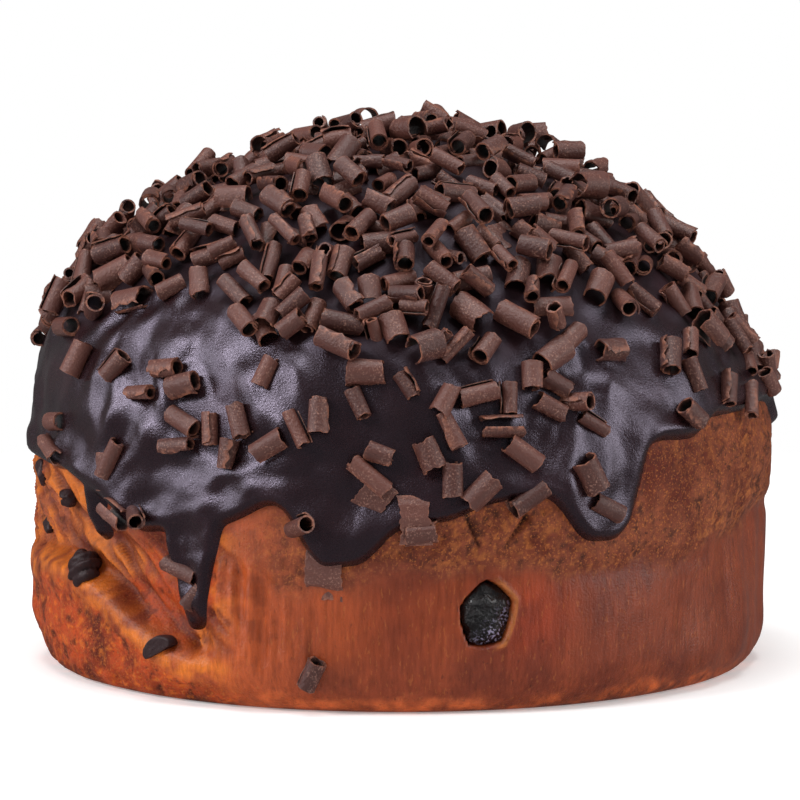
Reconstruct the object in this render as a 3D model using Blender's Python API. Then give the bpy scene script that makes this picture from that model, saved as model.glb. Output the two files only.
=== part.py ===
"""A low domed panettone out of its paper case, coated in dark chocolate and strewn with curls.

Metres, +Z up. The origin is the middle of the flat base, and the front of the loaf faces -Y.
Azimuths are measured round the upright axis from the front, positive towards +X.
Run with: blender --background --python part.py
"""

import math
from typing import NamedTuple

import bmesh
import bpy
import numpy as np
from mathutils import Matrix, Vector

MM = 0.001

# The loaf's outline from the base up: a tight foot, an upright wall and a blunt dome.
FOOT_RADIUS = 85.5 * MM
FOOT_RISE = 13 * MM
WALL_RADIUS = 92.6 * MM
SPRING_HEIGHT = 52 * MM
LOAF_HEIGHT = 128 * MM
DOME_POWER = 1.97

# Relief of the crust
SWELL = 0.7 * MM
SWELL_SPACING = 75 * MM
DIMPLE = 0.4 * MM
DIMPLE_SPACING = 30 * MM
RIM_HEIGHT = 32 * MM
RIM_OVERHANG = 0.9 * MM
PLEAT_PITCH = 11.5
PLEAT_DEPTH = 1.3 * MM

# Where the whole loaf stands fuller or hollower: azimuth, width in degrees, height, reach and rise
UNEVEN = [
    (-86, 34, 88 * MM, 14 * MM, 3.4 * MM),
    (-90, 26, 58 * MM, 9 * MM, -2.2 * MM),
    (84, 30, 90 * MM, 14 * MM, -2.4 * MM),
]

# The tear at the front left, where the rising crust has pulled away above a low lip
TEAR_LEFT = -98.0
TEAR_RIGHT = -29.5
TEAR_DEPTH = 4.5 * MM
LIP_HEIGHT = 29 * MM
LIP_FALL = 18 * MM

# The chocolate glaze: its lower edge, then drips as (azimuth, half width in degrees, length)
GLAZE_GAP = 0.5 * MM
GLAZE_THICKNESS = 1.9 * MM
GLAZE_WAVE = 0.45 * MM
GLAZE_WAVE_SPACING = 30 * MM
GLAZE_BEAD = 0.9 * MM
GLAZE_EDGE_ROUND = 2.4 * MM
ROOT = 1.2 * MM
EDGE_HEIGHT = 51 * MM
EDGE_RISE_AT_RIGHT = 11 * MM
DRIPS = [
    (-36.5, 15, 10.5 * MM),
    (-8.5, 6.5, 17 * MM),
    (4, 7.5, 6 * MM),
    (30, 6.5, 11.5 * MM),
    (88, 5, 7 * MM),
    (112, 8, 12 * MM),
    (134, 6, 7 * MM),
    (153, 9, 15 * MM),
    (176, 6, 9 * MM),
    (-162, 10, 13 * MM),
    (-138, 6, 6 * MM),
    (-120, 8, 12 * MM),
    (-101, 5, 5 * MM),
]

# Narrow runs below the glaze: azimuth and height at the top and at the foot, then half widths there
RUNS = [
    (-31.5, 44 * MM, -33, 17.5 * MM, 8.4 * MM, 4.6 * MM),
    (-53, 48 * MM, -53.5, 36 * MM, 3.4 * MM, 3 * MM),
    (128, 46 * MM, 127, 22 * MM, 4 * MM, 3 * MM),
]
RUN_THICKNESS = 1.6 * MM
RUN_TOE = 0.14
RUN_BLUNT = 0.02

# Curls: rolled shavings of thin chocolate
CURL_LENGTH = 9 * MM
CURL_RADIUS = 2.3 * MM
CURL_WALL = 0.75 * MM
CURL_SIDES = 4
CURL_WRAP = 300
CURL_SUNK = 0.25
PILE_TRIES = 860
PILE_RISE = 4.6 * MM
PILE_DEPTH = 3.4 * MM
PLACES_TRIED = 7
TILT_SPREAD = 0.2
PILE_FOOT = 84
PILE_FOOT_CHANGES = [(-40, 17, 11), (2, 14, -6), (38, 13, 5), (80, 15, -16), (150, 20, -7), (-150, 20, 6)]
THIN_PATCH = (46, 13, 91 * MM, 10 * MM, 0.85)
STRAYS_BEHIND = 0.05
SHOWN_SPACING = 14 * MM
GLAZE_TRIANGLES = 10400

# A front view of the loaf: where from, where to, and how many of its steps make a slope of 1
VIEW_POINT = np.array([0, -888, 147]) * MM
VIEW_AIM = np.array([0, 0, 65]) * MM
VIEW_STEPS = 3495
VIEW_MIDDLE = 400

# Lone curls, as (steps across, steps down, turn from level) read by eye off the front view
LONE_CURLS = [
    (71, 329, 0),
    (81, 360, 65),
    (117, 367, 50),
    (163, 367, 3),
    (178, 382, 14),
    (138, 392, 3),
    (176, 419, -35),
    (203, 427, 90),
    (236, 420, -77),
    (168, 444, 5),
    (223, 453, 80),
    (268, 445, 31),
    (265, 372, 64),
    (263, 327, -68),
    (90, 472, 90),
    (104, 458, 66),
    (50, 420, 0),
    (46, 449, -56),
    (109, 514, -40),
    (130, 517, -39),
    (166, 572, -28),
    (180, 600, 50),
    (366, 372, 0),
    (358, 402, -66),
    (318, 415, 90),
    (296, 428, -65),
    (407, 385, -58),
    (445, 399, 63),
    (480, 392, 13),
    (452, 429, -63),
    (513, 395, 90),
    (505, 425, 0),
    (380, 453, -20),
    (369, 476, -40),
    (372, 500, -37),
    (430, 454, -67),
    (453, 480, 90),
    (482, 492, 45),
    (415, 520, 0),
    (421, 534, 6),
    (300, 526, 27),
    (321, 574, -5),
    (576, 332, 45),
    (558, 351, 37),
    (535, 372, 90),
    (562, 380, -32),
    (617, 345, 0),
    (672, 355, 90),
    (692, 342, 90),
    (694, 375, -68),
    (723, 332, -51),
    (728, 390, 90),
    (750, 400, 90),
    (582, 400, 0),
    (556, 405, -27),
    (599, 422, -31),
    (688, 415, -46),
    (526, 453, -36),
    (592, 475, -62),
    (532, 499, 36),
    (610, 508, -28),
]
CURLS_AT_LIMB = [(-88, 83, 20), (-93, 79, -15)]
CURL_ON_CRUST = (-12.5, 10, 65)

# Pieces baked into the wall: azimuth, height in mm, size, tilt in degrees, and depth sunk
RAISIN = (12.5, 23.5, (12.5 * MM, 8 * MM, 16 * MM), 12, 3.4 * MM)
CHIPS = {
    "chip_lump": (-56.5, 28.5, (9.5 * MM, 8 * MM, 11 * MM), 25, -0.6 * MM),
    "chip_foot": (-37.5, 13, (9.5 * MM, 4 * MM, 6 * MM), -28, 0.3 * MM),
    "chip_edge": (-74, 49.5, (5.5 * MM, 5 * MM, 7.5 * MM), -15, 0.3 * MM),
    "chip_pointed": (-62, 45, (6.5 * MM, 5 * MM, 7 * MM), 40, 0.3 * MM),
    "chip_limb": (-79, 35, (7 * MM, 4.5 * MM, 6 * MM), 15, 0.3 * MM),
}
PIECE_GAP = 0.4 * MM

# Columns of faces round the wall, and half as many over the dome; rows up the wall by height in mm
COLUMNS = 72
WALL_ROWS = [0, 3, 7, 12, 18, 24, 29, 33, 37, 41, 46, 53]
DOME_ROWS = 9
CROWDING_AT_FRONT = 0.38


def smooth(x, low, high):
    """0 below low and 1 above high, with a soft step between."""
    t = np.clip((x - low) / (high - low), 0.0, 1.0)
    return t * t * (3 - 2 * t)


def hill(azimuth, centre, width, power=2):
    """A rounded rise of 1 round an azimuth, in degrees, that closes on itself behind the loaf."""
    away = np.abs((azimuth - centre + 180) % 360 - 180) / width
    return np.exp(-(away**power))


def bump(x, centre, width):
    """A rounded rise of 1 at the centre."""
    return np.exp(-(((x - centre) / width) ** 2))


def front_azimuth(theta):
    """The azimuth in degrees, from -180 to 180."""
    return (np.degrees(theta) + 180) % 360 - 180


def lumps(points, spacing, seed, waves=20):
    """Smooth random relief of about unit height, from plane waves in random directions."""
    draw = np.random.default_rng(seed)
    heading = draw.normal(size=(waves, 3))
    heading /= np.linalg.norm(heading, axis=1, keepdims=True)
    phase = draw.uniform(0, 2 * math.pi, waves)
    along = points @ (heading.T * 2 * math.pi / spacing)
    return np.sin(along + phase).sum(axis=-1) * math.sqrt(2 / waves)


def outline():
    """Arc length, radius, height and outward normal from the edge of the base to the top."""
    steps = 200
    corner = np.linspace(0, math.pi / 2, steps)
    radius = [FOOT_RADIUS + (WALL_RADIUS - FOOT_RADIUS) * np.sin(corner)]
    height = [FOOT_RISE * (1 - np.cos(corner))]
    radius.append(np.full(steps, WALL_RADIUS))
    height.append(np.linspace(FOOT_RISE, SPRING_HEIGHT, steps))
    power = 2 / DOME_POWER
    radius.append(WALL_RADIUS * np.cos(corner) ** power)
    height.append(SPRING_HEIGHT + (LOAF_HEIGHT - SPRING_HEIGHT) * np.sin(corner) ** power)
    r, z = np.concatenate(radius), np.concatenate(height)
    r[-1] = 0.0
    step = np.hypot(np.diff(r), np.diff(z))
    kept = np.concatenate([[True], step > 1e-7])
    r, z = r[kept], z[kept]
    s = np.concatenate([[0.0], np.cumsum(np.hypot(np.diff(r), np.diff(z)))])
    dr, dz = np.gradient(r, s), np.gradient(z, s)
    size = np.hypot(dr, dz)
    return s, r, z, dz / size, -dr / size


ARC, ARC_RADIUS, ARC_HEIGHT, ARC_OUT, ARC_UP = outline()
ARC_TOP = ARC[-1]


def arc_at_height(z):
    return np.interp(z, ARC_HEIGHT, ARC)


def height_at(arc):
    return np.interp(arc, ARC, ARC_HEIGHT)


def outline_point(theta, arc, lift=0.0):
    """The point at an azimuth and an arc length, moved out along the outline's normal by lift."""
    r = np.interp(arc, ARC, ARC_RADIUS) + lift * np.interp(arc, ARC, ARC_OUT)
    z = np.interp(arc, ARC, ARC_HEIGHT) + lift * np.interp(arc, ARC, ARC_UP)
    return np.stack([r * np.sin(theta), -r * np.cos(theta), z], axis=-1)


def outline_normal(theta, arc):
    out, up = np.interp(arc, ARC, ARC_OUT), np.interp(arc, ARC, ARC_UP)
    return np.stack([out * np.sin(theta), -out * np.cos(theta), up], axis=-1)


def edge_height(azimuth):
    """Height of the glaze's lower edge."""
    right = smooth(azimuth, 35, 39) * (1 + 0.35 * smooth(azimuth, 48, 55)) * (1 - smooth(azimuth, 100, 118))
    z = EDGE_HEIGHT + EDGE_RISE_AT_RIGHT * right + 4 * MM * hill(azimuth, -92, 20)
    for centre, half_width, length in DRIPS:
        z = z - length * hill(azimuth, centre, half_width, power=3)
    return z


def edge_arc(azimuth):
    return arc_at_height(edge_height(azimuth))


def pleats(azimuth):
    """Upright grooves left by the folds of the paper case, deepest at the right."""
    draw = np.random.default_rng(11)
    strength = 0.3 + 0.9 * hill(azimuth, 72, 28) + 0.7 * hill(azimuth, -24, 9) + 0.45 * hill(azimuth, 170, 60)
    groove = 0
    for n in range(round(360 / PLEAT_PITCH)):
        centre = (n + draw.uniform(-0.3, 0.3)) * PLEAT_PITCH
        groove = groove + draw.uniform(0.4, 1.0) * hill(azimuth, centre, draw.uniform(2.6, 4.2))
    return PLEAT_DEPTH * strength * (0.5 - groove)


def rim_height(azimuth):
    """Height at which the smooth wall ends and the rougher upper crust begins."""
    wander = np.sin(np.radians(azimuth * 5)) + 0.6 * np.sin(np.radians(azimuth * 11 + 40))
    return RIM_HEIGHT + 9 * MM * hill(azimuth, 80, 32) + 4 * MM * hill(azimuth, 170, 60) + 1.1 * MM * wander


def tear(azimuth, z):
    """The pulled-open crust at the front left: a rolled lip, and a hollow with folds above it."""
    lip = LIP_HEIGHT - LIP_FALL * smooth(azimuth, -62, -28)
    across = smooth(azimuth, TEAR_LEFT, -66) * (1 - smooth(azimuth, TEAR_RIGHT - 3, TEAR_RIGHT + 2))
    above = smooth(z, lip - 1 * MM, lip + 3 * MM) * (1 - 0.7 * smooth(z, lip + 9 * MM, lip + 25 * MM))
    folds = np.sin((z + 0.35 * MM * azimuth) * 2 * math.pi / (11 * MM))
    roll = bump(z, lip - 3.5 * MM, 4 * MM)
    return across * (above * (0.8 * MM * folds - TEAR_DEPTH) + 1.2 * MM * roll)


def loaf_relief(theta, arc):
    """How far the crust stands out from its smooth outline."""
    azimuth, z = front_azimuth(theta), height_at(arc)
    point = outline_point(theta, arc)
    soft = SWELL * lumps(point, SWELL_SPACING, seed=3) + DIMPLE * lumps(point, DIMPLE_SPACING, seed=5)
    for centre, width, height, reach, rise in UNEVEN:
        soft = soft + rise * hill(azimuth, centre, width) * bump(z, height, reach)
    rim = rim_height(azimuth)
    crust = RIM_OVERHANG * smooth(z, rim - 1 * MM, rim + 4 * MM)
    crust = crust - 0.5 * MM * hill(azimuth, 75, 45) * bump(z, rim - 2 * MM, 2 * MM)
    torn = smooth(azimuth, TEAR_LEFT - 14, TEAR_LEFT) * (1 - smooth(azimuth, TEAR_RIGHT, TEAR_RIGHT + 8))
    creased = (crust + pleats(azimuth) * (1 - smooth(z, rim - 4 * MM, rim + 3 * MM))) * (1 - torn)
    sharp = (creased + tear(azimuth, z)) * (1 - smooth(arc - edge_arc(azimuth), -1 * MM, 5 * MM))
    return (soft + sharp) * smooth(z, 0, 0.8 * FOOT_RISE)


def loaf_point(theta, arc, lift=0.0):
    return outline_point(theta, arc, loaf_relief(theta, arc) + lift)


def pile_foot(azimuth):
    """Height down to which the curls lie thickly."""
    changes = [change * hill(azimuth, centre, width) for centre, width, change in PILE_FOOT_CHANGES]
    return (PILE_FOOT + sum(changes)) * MM


def pile_share(azimuth, z):
    """How thickly the curls lie, from 0 to 1, with a thin patch at the upper right."""
    thick = smooth(z, pile_foot(azimuth) - 3 * MM, pile_foot(azimuth) + 5 * MM)
    centre, width, height, reach, missing = THIN_PATCH
    return thick * (1 - missing * hill(azimuth, centre, width) * bump(z, height, reach))


def glaze_height(theta, arc):
    """How far the glaze stands above the crust: wavy, with a bead that rounds off at the edge."""
    inside = np.maximum(arc - edge_arc(front_azimuth(theta)), 0)
    wave = GLAZE_WAVE * lumps(outline_point(theta, arc), GLAZE_WAVE_SPACING, seed=8)
    thick = GLAZE_THICKNESS + wave + GLAZE_BEAD * bump(inside, 4 * MM, 4 * MM)
    toe = 1 - np.minimum(inside / GLAZE_EDGE_ROUND, 1)
    return thick * np.sqrt(np.maximum(1 - toe**2, 0))


def clearance(points, radius, others):
    """The least gap between a curl, given by points on its axis, and its neighbours."""
    centres, axes, halves, radii = others
    away = points[:, None, :] - centres[None]
    along = np.clip((away * axes).sum(-1), -halves, halves)
    nearest = np.linalg.norm(away - along[..., None] * axes, axis=-1)
    return float((nearest - radii).min() - radius)


class Curl(NamedTuple):
    """A curl at rest: its middle, its axis, the surface's normal there, and its lift off the glaze."""

    centre: np.ndarray
    axis: np.ndarray
    normal: np.ndarray
    length: float
    radius: float
    slit: float
    lift: float


class Pile:
    """Curls that have come to rest, kept as arrays so that a new one can be tested against them."""

    def __init__(self):
        self.curls = []
        self.centres = np.empty((0, 3))
        self.shapes = np.empty((0, 5))

    def rest_height(self, place, normal, axis, half, radius):
        """How far a curl has to rise from the glaze, along its normal, to clear those already down."""
        reach = CURL_LENGTH * 1.9
        near = np.linalg.norm(self.centres - place, axis=1) < reach if len(self.centres) else []
        if not np.any(near):
            return 0.0
        shapes = self.shapes[near]
        others = (self.centres[near], shapes[:, :3], shapes[:, 3] - 0.4 * shapes[:, 4], shapes[:, 4])
        spread = np.linspace(-0.85, 0.85, 5)[:, None] * half * axis
        for lift in np.arange(0, PILE_RISE + 0.4 * MM, 0.4 * MM):
            if clearance(place + normal * lift + spread, radius, others) > -0.3 * MM:
                return lift
        return 2 * PILE_RISE

    def add(self, curl):
        self.curls.append(curl)
        self.centres = np.vstack([self.centres, curl.centre])
        self.shapes = np.vstack([self.shapes, [*curl.axis, curl.length / 2, curl.radius]])


def tangent_frame(theta, arc):
    """Unit vectors level and up the slope on the surface, and out of it."""
    normal = outline_normal(theta, arc)
    level = np.array([math.cos(theta), math.sin(theta), 0.0])
    return level, np.cross(normal, level), normal


def met_by_sight(across, down, lift):
    """Azimuth, arc length and point where a line of sight meets the outline raised by lift."""
    ahead = (VIEW_AIM - VIEW_POINT) / np.linalg.norm(VIEW_AIM - VIEW_POINT)
    right = np.array([1.0, 0.0, 0.0])
    slope = (across - VIEW_MIDDLE) * right + (VIEW_MIDDLE - down) * np.cross(right, ahead)
    points = VIEW_POINT + np.linspace(0.76, 0.92, 1601)[:, None] * (ahead + slope / VIEW_STEPS)
    radius, height = ARC_RADIUS + lift * ARC_OUT, ARC_HEIGHT + lift * ARC_UP
    inside = np.hypot(points[:, 0], points[:, 1]) < np.interp(points[:, 2], height, radius)
    point = points[np.argmax(inside)]
    return math.atan2(point[0], -point[1]), float(np.interp(point[2], height, ARC)), point


def seen_place(across, down, turn, lift):
    """The azimuth, arc length, axis and normal of a curl, as the front view shows them."""
    theta, arc, middle = met_by_sight(across, down, lift)
    level, upslope, normal = tangent_frame(theta, arc)
    swing = math.radians(turn)
    end = met_by_sight(across + 4 * math.cos(swing), down - 4 * math.sin(swing), lift)[2] - middle
    axis = level * (end @ level) + upslope * (end @ upslope)
    return theta, arc, axis / np.linalg.norm(axis), normal


def place_on_outline(azimuth, z):
    """The place and the unit vectors for an azimuth in degrees and a height in millimetres."""
    theta, arc = math.radians(azimuth), float(arc_at_height(z * MM))
    return theta, arc, *tangent_frame(theta, arc)


def swung(level, upslope, turn):
    """The direction on the surface that is turned from level by some degrees."""
    return level * math.cos(math.radians(turn)) + upslope * math.sin(math.radians(turn))


def seat(theta, arc, radius, sunk=CURL_SUNK):
    """Where the middle of a curl lies when it rests a little sunk in the soft glaze."""
    glazed = glaze_height(np.array([theta]), np.array([arc]))[0]
    return loaf_point(np.array([theta]), np.array([arc]), glazed + radius * (1 - sunk))[0]


def curl_shape(draw):
    """Length, radius, and where the slit is, in degrees from straight up: always underneath."""
    slit = 180 + draw.uniform(-25, 25)
    return CURL_LENGTH * draw.uniform(0.8, 1.18), CURL_RADIUS * draw.uniform(0.86, 1.2), slit


def strewn_curls():
    """The lone curls first, then a pile in which each curl takes the lowest of a few places."""
    draw = np.random.default_rng(21)
    pile = Pile()
    for across, down, turn in LONE_CURLS:
        theta, arc, axis, normal = seen_place(across, down, turn, lift=4.5 * MM)
        length, radius, slit = curl_shape(draw)
        pile.add(Curl(seat(theta, arc, radius), axis, normal, length, radius, slit, 0.0))
    for azimuth, z, turn in CURLS_AT_LIMB:
        theta, arc, level, upslope, normal = place_on_outline(azimuth, z)
        length, radius, slit = curl_shape(draw)
        axis = swung(level, upslope, turn)
        pile.add(Curl(seat(theta, arc, radius), axis, normal, length, radius, slit, 0.0))
    for _ in range(PILE_TRIES):
        best = None
        length, radius, slit = curl_shape(draw)
        for _ in range(PLACES_TRIED):
            theta, arc = draw_place(draw)
            level, upslope, normal = tangent_frame(theta, arc)
            spin, tilt = draw.uniform(0, math.pi), draw.normal(0, TILT_SPREAD)
            flat = level * math.cos(spin) + upslope * math.sin(spin)
            axis = flat * math.cos(tilt) + normal * math.sin(tilt)
            place = seat(theta, arc, radius) + normal * abs(math.sin(tilt)) * length * 0.3
            lift = pile.rest_height(place, normal, axis, length / 2, radius)
            if best is None or lift < best.lift:
                best = Curl(place + normal * lift, axis, normal, length, radius, slit, lift)
        if best.lift <= PILE_RISE * (0.3 + 0.7 * best.normal[2]):
            pile.add(best)
    return pile.curls


def draw_place(draw):
    """A random azimuth and arc length, as likely as the curls lie thick there."""
    while True:
        theta, arc = draw.uniform(-math.pi, math.pi), draw.uniform(arc_at_height(56 * MM), ARC_TOP)
        azimuth, z = math.degrees(theta), float(height_at(arc))
        glazed = float(arc > edge_arc(azimuth) + 4 * MM)
        behind = STRAYS_BEHIND * float(smooth(abs(azimuth), 98, 110)) * glazed
        share = max(float(pile_share(azimuth, z)), behind)
        if draw.uniform() < share * float(np.interp(arc, ARC, ARC_RADIUS)) / WALL_RADIUS:
            return theta, arc


def shown_curls(curls):
    """The lone curls, and those that stand highest in the pile, spread evenly and seated on its body."""
    lone = len(LONE_CURLS) + len(CURLS_AT_LIMB)
    chosen = curls[:lone]
    for curl in sorted(curls[lone:], key=lambda curl: -curl.lift):
        if all(np.linalg.norm(curl.centre - other.centre) > SHOWN_SPACING for other in chosen):
            sunk = max(curl.lift - PILE_DEPTH, 0)
            chosen.append(curl._replace(centre=curl.centre - curl.normal * sunk))
    return chosen


def material(name, colour, roughness):
    made = bpy.data.materials.new(name)
    made.use_nodes = True
    shader = made.node_tree.nodes["Principled BSDF"]
    shader.inputs["Base Color"].default_value = (*colour, 1.0)
    shader.inputs["Roughness"].default_value = roughness
    return made


def soften(mesh):
    """Smooth shading, except over sharp edges."""
    mesh.polygons.foreach_set("use_smooth", [True] * len(mesh.polygons))
    mesh.set_sharp_from_angle(angle=math.radians(40))


def new_object(name, bm, finish):
    bmesh.ops.recalc_face_normals(bm, faces=bm.faces)
    mesh = bpy.data.meshes.new(name)
    bm.to_mesh(mesh)
    bm.free()
    mesh.materials.append(finish)
    soften(mesh)
    made = bpy.data.objects.new(name, mesh)
    bpy.context.scene.collection.objects.link(made)
    return made


def bridge(bm, lower, upper):
    """Faces between two rings of vertices, where the upper one has as many or half as many."""
    n, ratio = len(lower), len(lower) // len(upper)
    for i in range(len(upper)):
        a, b = upper[i], upper[(i + 1) % len(upper)]
        if ratio == 1:
            bm.faces.new((lower[i], lower[(i + 1) % n], b, a))
        else:
            first, middle, last = (lower[(2 * i + k) % n] for k in range(3))
            bm.faces.new((first, middle, a))
            bm.faces.new((middle, b, a))
            bm.faces.new((middle, last, b))


def rings(bm, rows):
    """A ring of vertices for each row of points, joined to the last; a row of one point is a pole."""
    made = [[bm.verts.new(p) for p in row] for row in rows]
    for lower, upper in zip(made, made[1:]):
        if len(upper) == 1:
            for i in range(len(lower)):
                bm.faces.new((lower[i], lower[(i + 1) % len(lower)], upper[0]))
        else:
            bridge(bm, lower, upper)
    return made


def columns(count):
    """Azimuths of the columns of faces, closer together towards the front."""
    even = np.arange(count) * 2 * math.pi / count
    return even - CROWDING_AT_FRONT * np.sin(even)


def turn_all_triangles(bm):
    bmesh.ops.triangulate(bm, faces=[f for f in bm.faces if len(f.verts) == 4])


def make_loaf(name, finish, lift=0.0):
    """The whole loaf as one solid, with a flat base. It is coarse where the glaze hides it."""
    bm = bmesh.new()
    around, over = columns(COLUMNS), columns(COLUMNS // 2)
    rows = [loaf_point(around, arc_at_height(np.full(COLUMNS, z * MM)), lift) for z in WALL_ROWS]
    start = float(arc_at_height(WALL_ROWS[-1] * MM))
    for arc in np.linspace(start, ARC_TOP, DOME_ROWS)[1:-1]:
        rows.append(loaf_point(over, np.full(COLUMNS // 2, arc), lift))
    rows.append(loaf_point(np.zeros(1), np.array([ARC_TOP]), lift))
    made = rings(bm, rows)
    bm.faces.new(list(reversed(made[0])))
    turn_all_triangles(bm)
    return new_object(name, bm, finish)


def glaze_rows(steps, around, lift):
    """Rows of points at set distances above the glaze's edge, each lifted from the crust."""
    edge = edge_arc(front_azimuth(around))
    rows = []
    for step in steps:
        arc = edge + step / (ARC_TOP - edge.min()) * (ARC_TOP - edge)
        rows.append(loaf_point(around, arc, lift(around, arc)))
    return rows


def covered_height(theta, arc):
    """The glaze with the body of the pile of curls on it."""
    share = pile_share(front_azimuth(theta), height_at(arc))
    return GLAZE_GAP + glaze_height(theta, arc) + PILE_DEPTH * share


def rooted(theta, arc):
    """Level of the cap's hidden parts, inside the loaf, where it is cut away later."""
    return np.full(len(theta), -ROOT)


def make_glaze(finish):
    """The glaze as a cap that reaches into the loaf. Cutting it back to the crust makes it a shell."""
    bm = bmesh.new()
    around, over = columns(COLUMNS), columns(COLUMNS // 2)
    toe = np.array([0.5, 2.4, 6, 12, 20]) * MM
    body = np.arange(29, 124, 9.5) * MM
    outer = glaze_rows([0.0], around, rooted)
    outer += glaze_rows(toe, around, covered_height) + glaze_rows(body, over, covered_height)
    outer.append(loaf_point(np.zeros(1), np.array([ARC_TOP]), GLAZE_GAP + GLAZE_THICKNESS + PILE_DEPTH))
    outside = rings(bm, outer)
    inner = glaze_rows(np.array([8, 36, 64, 92]) * MM, over, lambda theta, arc: rooted(theta, arc) * 3)
    inner.append(loaf_point(np.zeros(1), np.array([ARC_TOP]), -3 * ROOT))
    inside = rings(bm, inner)
    bridge(bm, outside[0], inside[0])
    turn_all_triangles(bm)
    return new_object("glaze", bm, finish)


def run_body(name, azimuth_top, top, azimuth_foot, foot, half_top, half_foot, finish):
    """One narrow run of glaze down the wall: a half-round strip that ends in a rounded toe."""
    bm = bmesh.new()
    rows = []
    for share in np.linspace(0, 1, 9):
        z = top + (foot - top) * share
        half = half_top + (half_foot - half_top) * share
        toe = max(share - 1 + RUN_TOE, 0) / RUN_TOE
        half = half * math.sqrt(max(1 - toe**2, RUN_BLUNT))
        azimuth = azimuth_top + (azimuth_foot - azimuth_top) * share
        section = []
        for side in np.linspace(0, 2 * math.pi, 10, endpoint=False):
            theta = math.radians(azimuth) + half * math.cos(side) / WALL_RADIUS
            lift = RUN_THICKNESS * (0.5 + 0.5 * half / half_top) * math.sin(side)
            arc = float(arc_at_height(z))
            section.append(loaf_point(np.array([theta]), np.array([arc]), GLAZE_GAP + lift)[0])
        rows.append(section)
    made = rings(bm, rows)
    bm.faces.new(list(reversed(made[0])))
    bm.faces.new(made[-1])
    bmesh.ops.triangulate(bm, faces=list(bm.faces))
    return new_object(name, bm, finish)


def curl_body(name, curl, finish):
    """One curl: a thick strip bent to an open ring."""
    bm = bmesh.new()
    side = np.cross(curl.axis, curl.normal)
    side /= np.linalg.norm(side)
    up = np.cross(side, curl.axis)
    angles = np.radians(curl.slit + 180 + np.linspace(-CURL_WRAP / 2, CURL_WRAP / 2, CURL_SIDES + 1))
    ends = []
    for along in (-curl.length / 2, curl.length / 2):
        loop = []
        for r, order in ((curl.radius, angles), (curl.radius - CURL_WALL, angles[::-1])):
            for angle in order:
                offset = r * (side * math.sin(angle) + up * math.cos(angle))
                loop.append(bm.verts.new(Vector(curl.centre + curl.axis * along + offset)))
        ends.append(loop)
    count = len(ends[0])
    for i in range(count):
        k = (i + 1) % count
        bm.faces.new((ends[0][i], ends[0][k], ends[1][k], ends[1][i]))
    for loop in ends:
        for i in range(CURL_SIDES):
            bm.faces.new((loop[i], loop[i + 1], loop[count - 2 - i], loop[count - 1 - i]))
    bmesh.ops.triangulate(bm, faces=list(bm.faces))
    return new_object(name, bm, finish)


def apply_modifier(obj, modifier):
    with bpy.context.temp_override(object=obj, active_object=obj):
        bpy.ops.object.modifier_apply(modifier=modifier.name)


def fuse(target, pieces):
    """Joins the pieces to the target with one union, then removes them."""
    group = bpy.data.collections.new("fused to " + target.name)
    bpy.context.scene.collection.children.link(group)
    for piece in pieces:
        bpy.context.scene.collection.objects.unlink(piece)
        group.objects.link(piece)
    union = target.modifiers.new("union", "BOOLEAN")
    union.operation = "UNION"
    union.operand_type = "COLLECTION"
    union.collection = group
    union.solver = "EXACT"
    apply_modifier(target, union)
    for piece in pieces:
        bpy.data.objects.remove(piece)
    bpy.data.collections.remove(group)


def cut_away(target, cutter):
    """Takes the cutter's body off the target, then removes the cutter."""
    cut = target.modifiers.new("cut", "BOOLEAN")
    cut.operation = "DIFFERENCE"
    cut.object = cutter
    cut.solver = "EXACT"
    apply_modifier(target, cut)
    bpy.data.objects.remove(cutter)


def thin_out(obj, triangles):
    """Leaves out the small triangles that the cuts left in flat places."""
    fewer = obj.modifiers.new("fewer", "DECIMATE")
    fewer.ratio = triangles / sum(len(face.vertices) - 2 for face in obj.data.polygons)
    apply_modifier(obj, fewer)


def drop_scraps(obj):
    """Keeps only the largest closed skin of a mesh, without sealed hollows and loose scraps."""
    bm = bmesh.new()
    bm.from_mesh(obj.data)
    bm.faces.ensure_lookup_table()
    left = set(bm.faces)
    islands = []
    while left:
        island, front = set(), [left.pop()]
        while front:
            face = front.pop()
            island.add(face)
            linked = {other for edge in face.edges for other in edge.link_faces} & left
            left -= linked
            front.extend(linked)
        islands.append(island)
    islands.sort(key=len)
    spare = [face for island in islands[:-1] for face in island]
    bmesh.ops.delete(bm, geom=spare, context="FACES")
    bm.to_mesh(obj.data)
    bm.free()
    soften(obj.data)


def wall_frame(azimuth, z, depth):
    """The matrix of a piece set in the wall: X level, Y into the loaf and Z up."""
    theta, arc, level, upslope, normal = place_on_outline(azimuth, z)
    middle = loaf_point(np.array([theta]), np.array([arc]), -depth)[0]
    turned = Matrix((level, -normal, upslope)).transposed()
    return Matrix.Translation(Vector(middle)) @ turned.to_4x4()


def pebble(name, size, frame, tilt, finish, grow=0.0, crumple=0.0, seed=0):
    """A small rounded piece, optionally wrinkled; with grow it is the cutter that clears its pocket."""
    bm = bmesh.new()
    bmesh.ops.create_icosphere(bm, subdivisions=2, radius=1.0)
    draw = np.random.default_rng(seed)
    for vertex in bm.verts:
        vertex.co *= 1 + crumple * draw.uniform(-1, 1)
        vertex.co = Vector([c * (s / 2 + grow) for c, s in zip(vertex.co, size)])
    bmesh.ops.transform(bm, matrix=frame @ Matrix.Rotation(math.radians(tilt), 4, "Y"), verts=bm.verts)
    return new_object(name, bm, finish)


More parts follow.
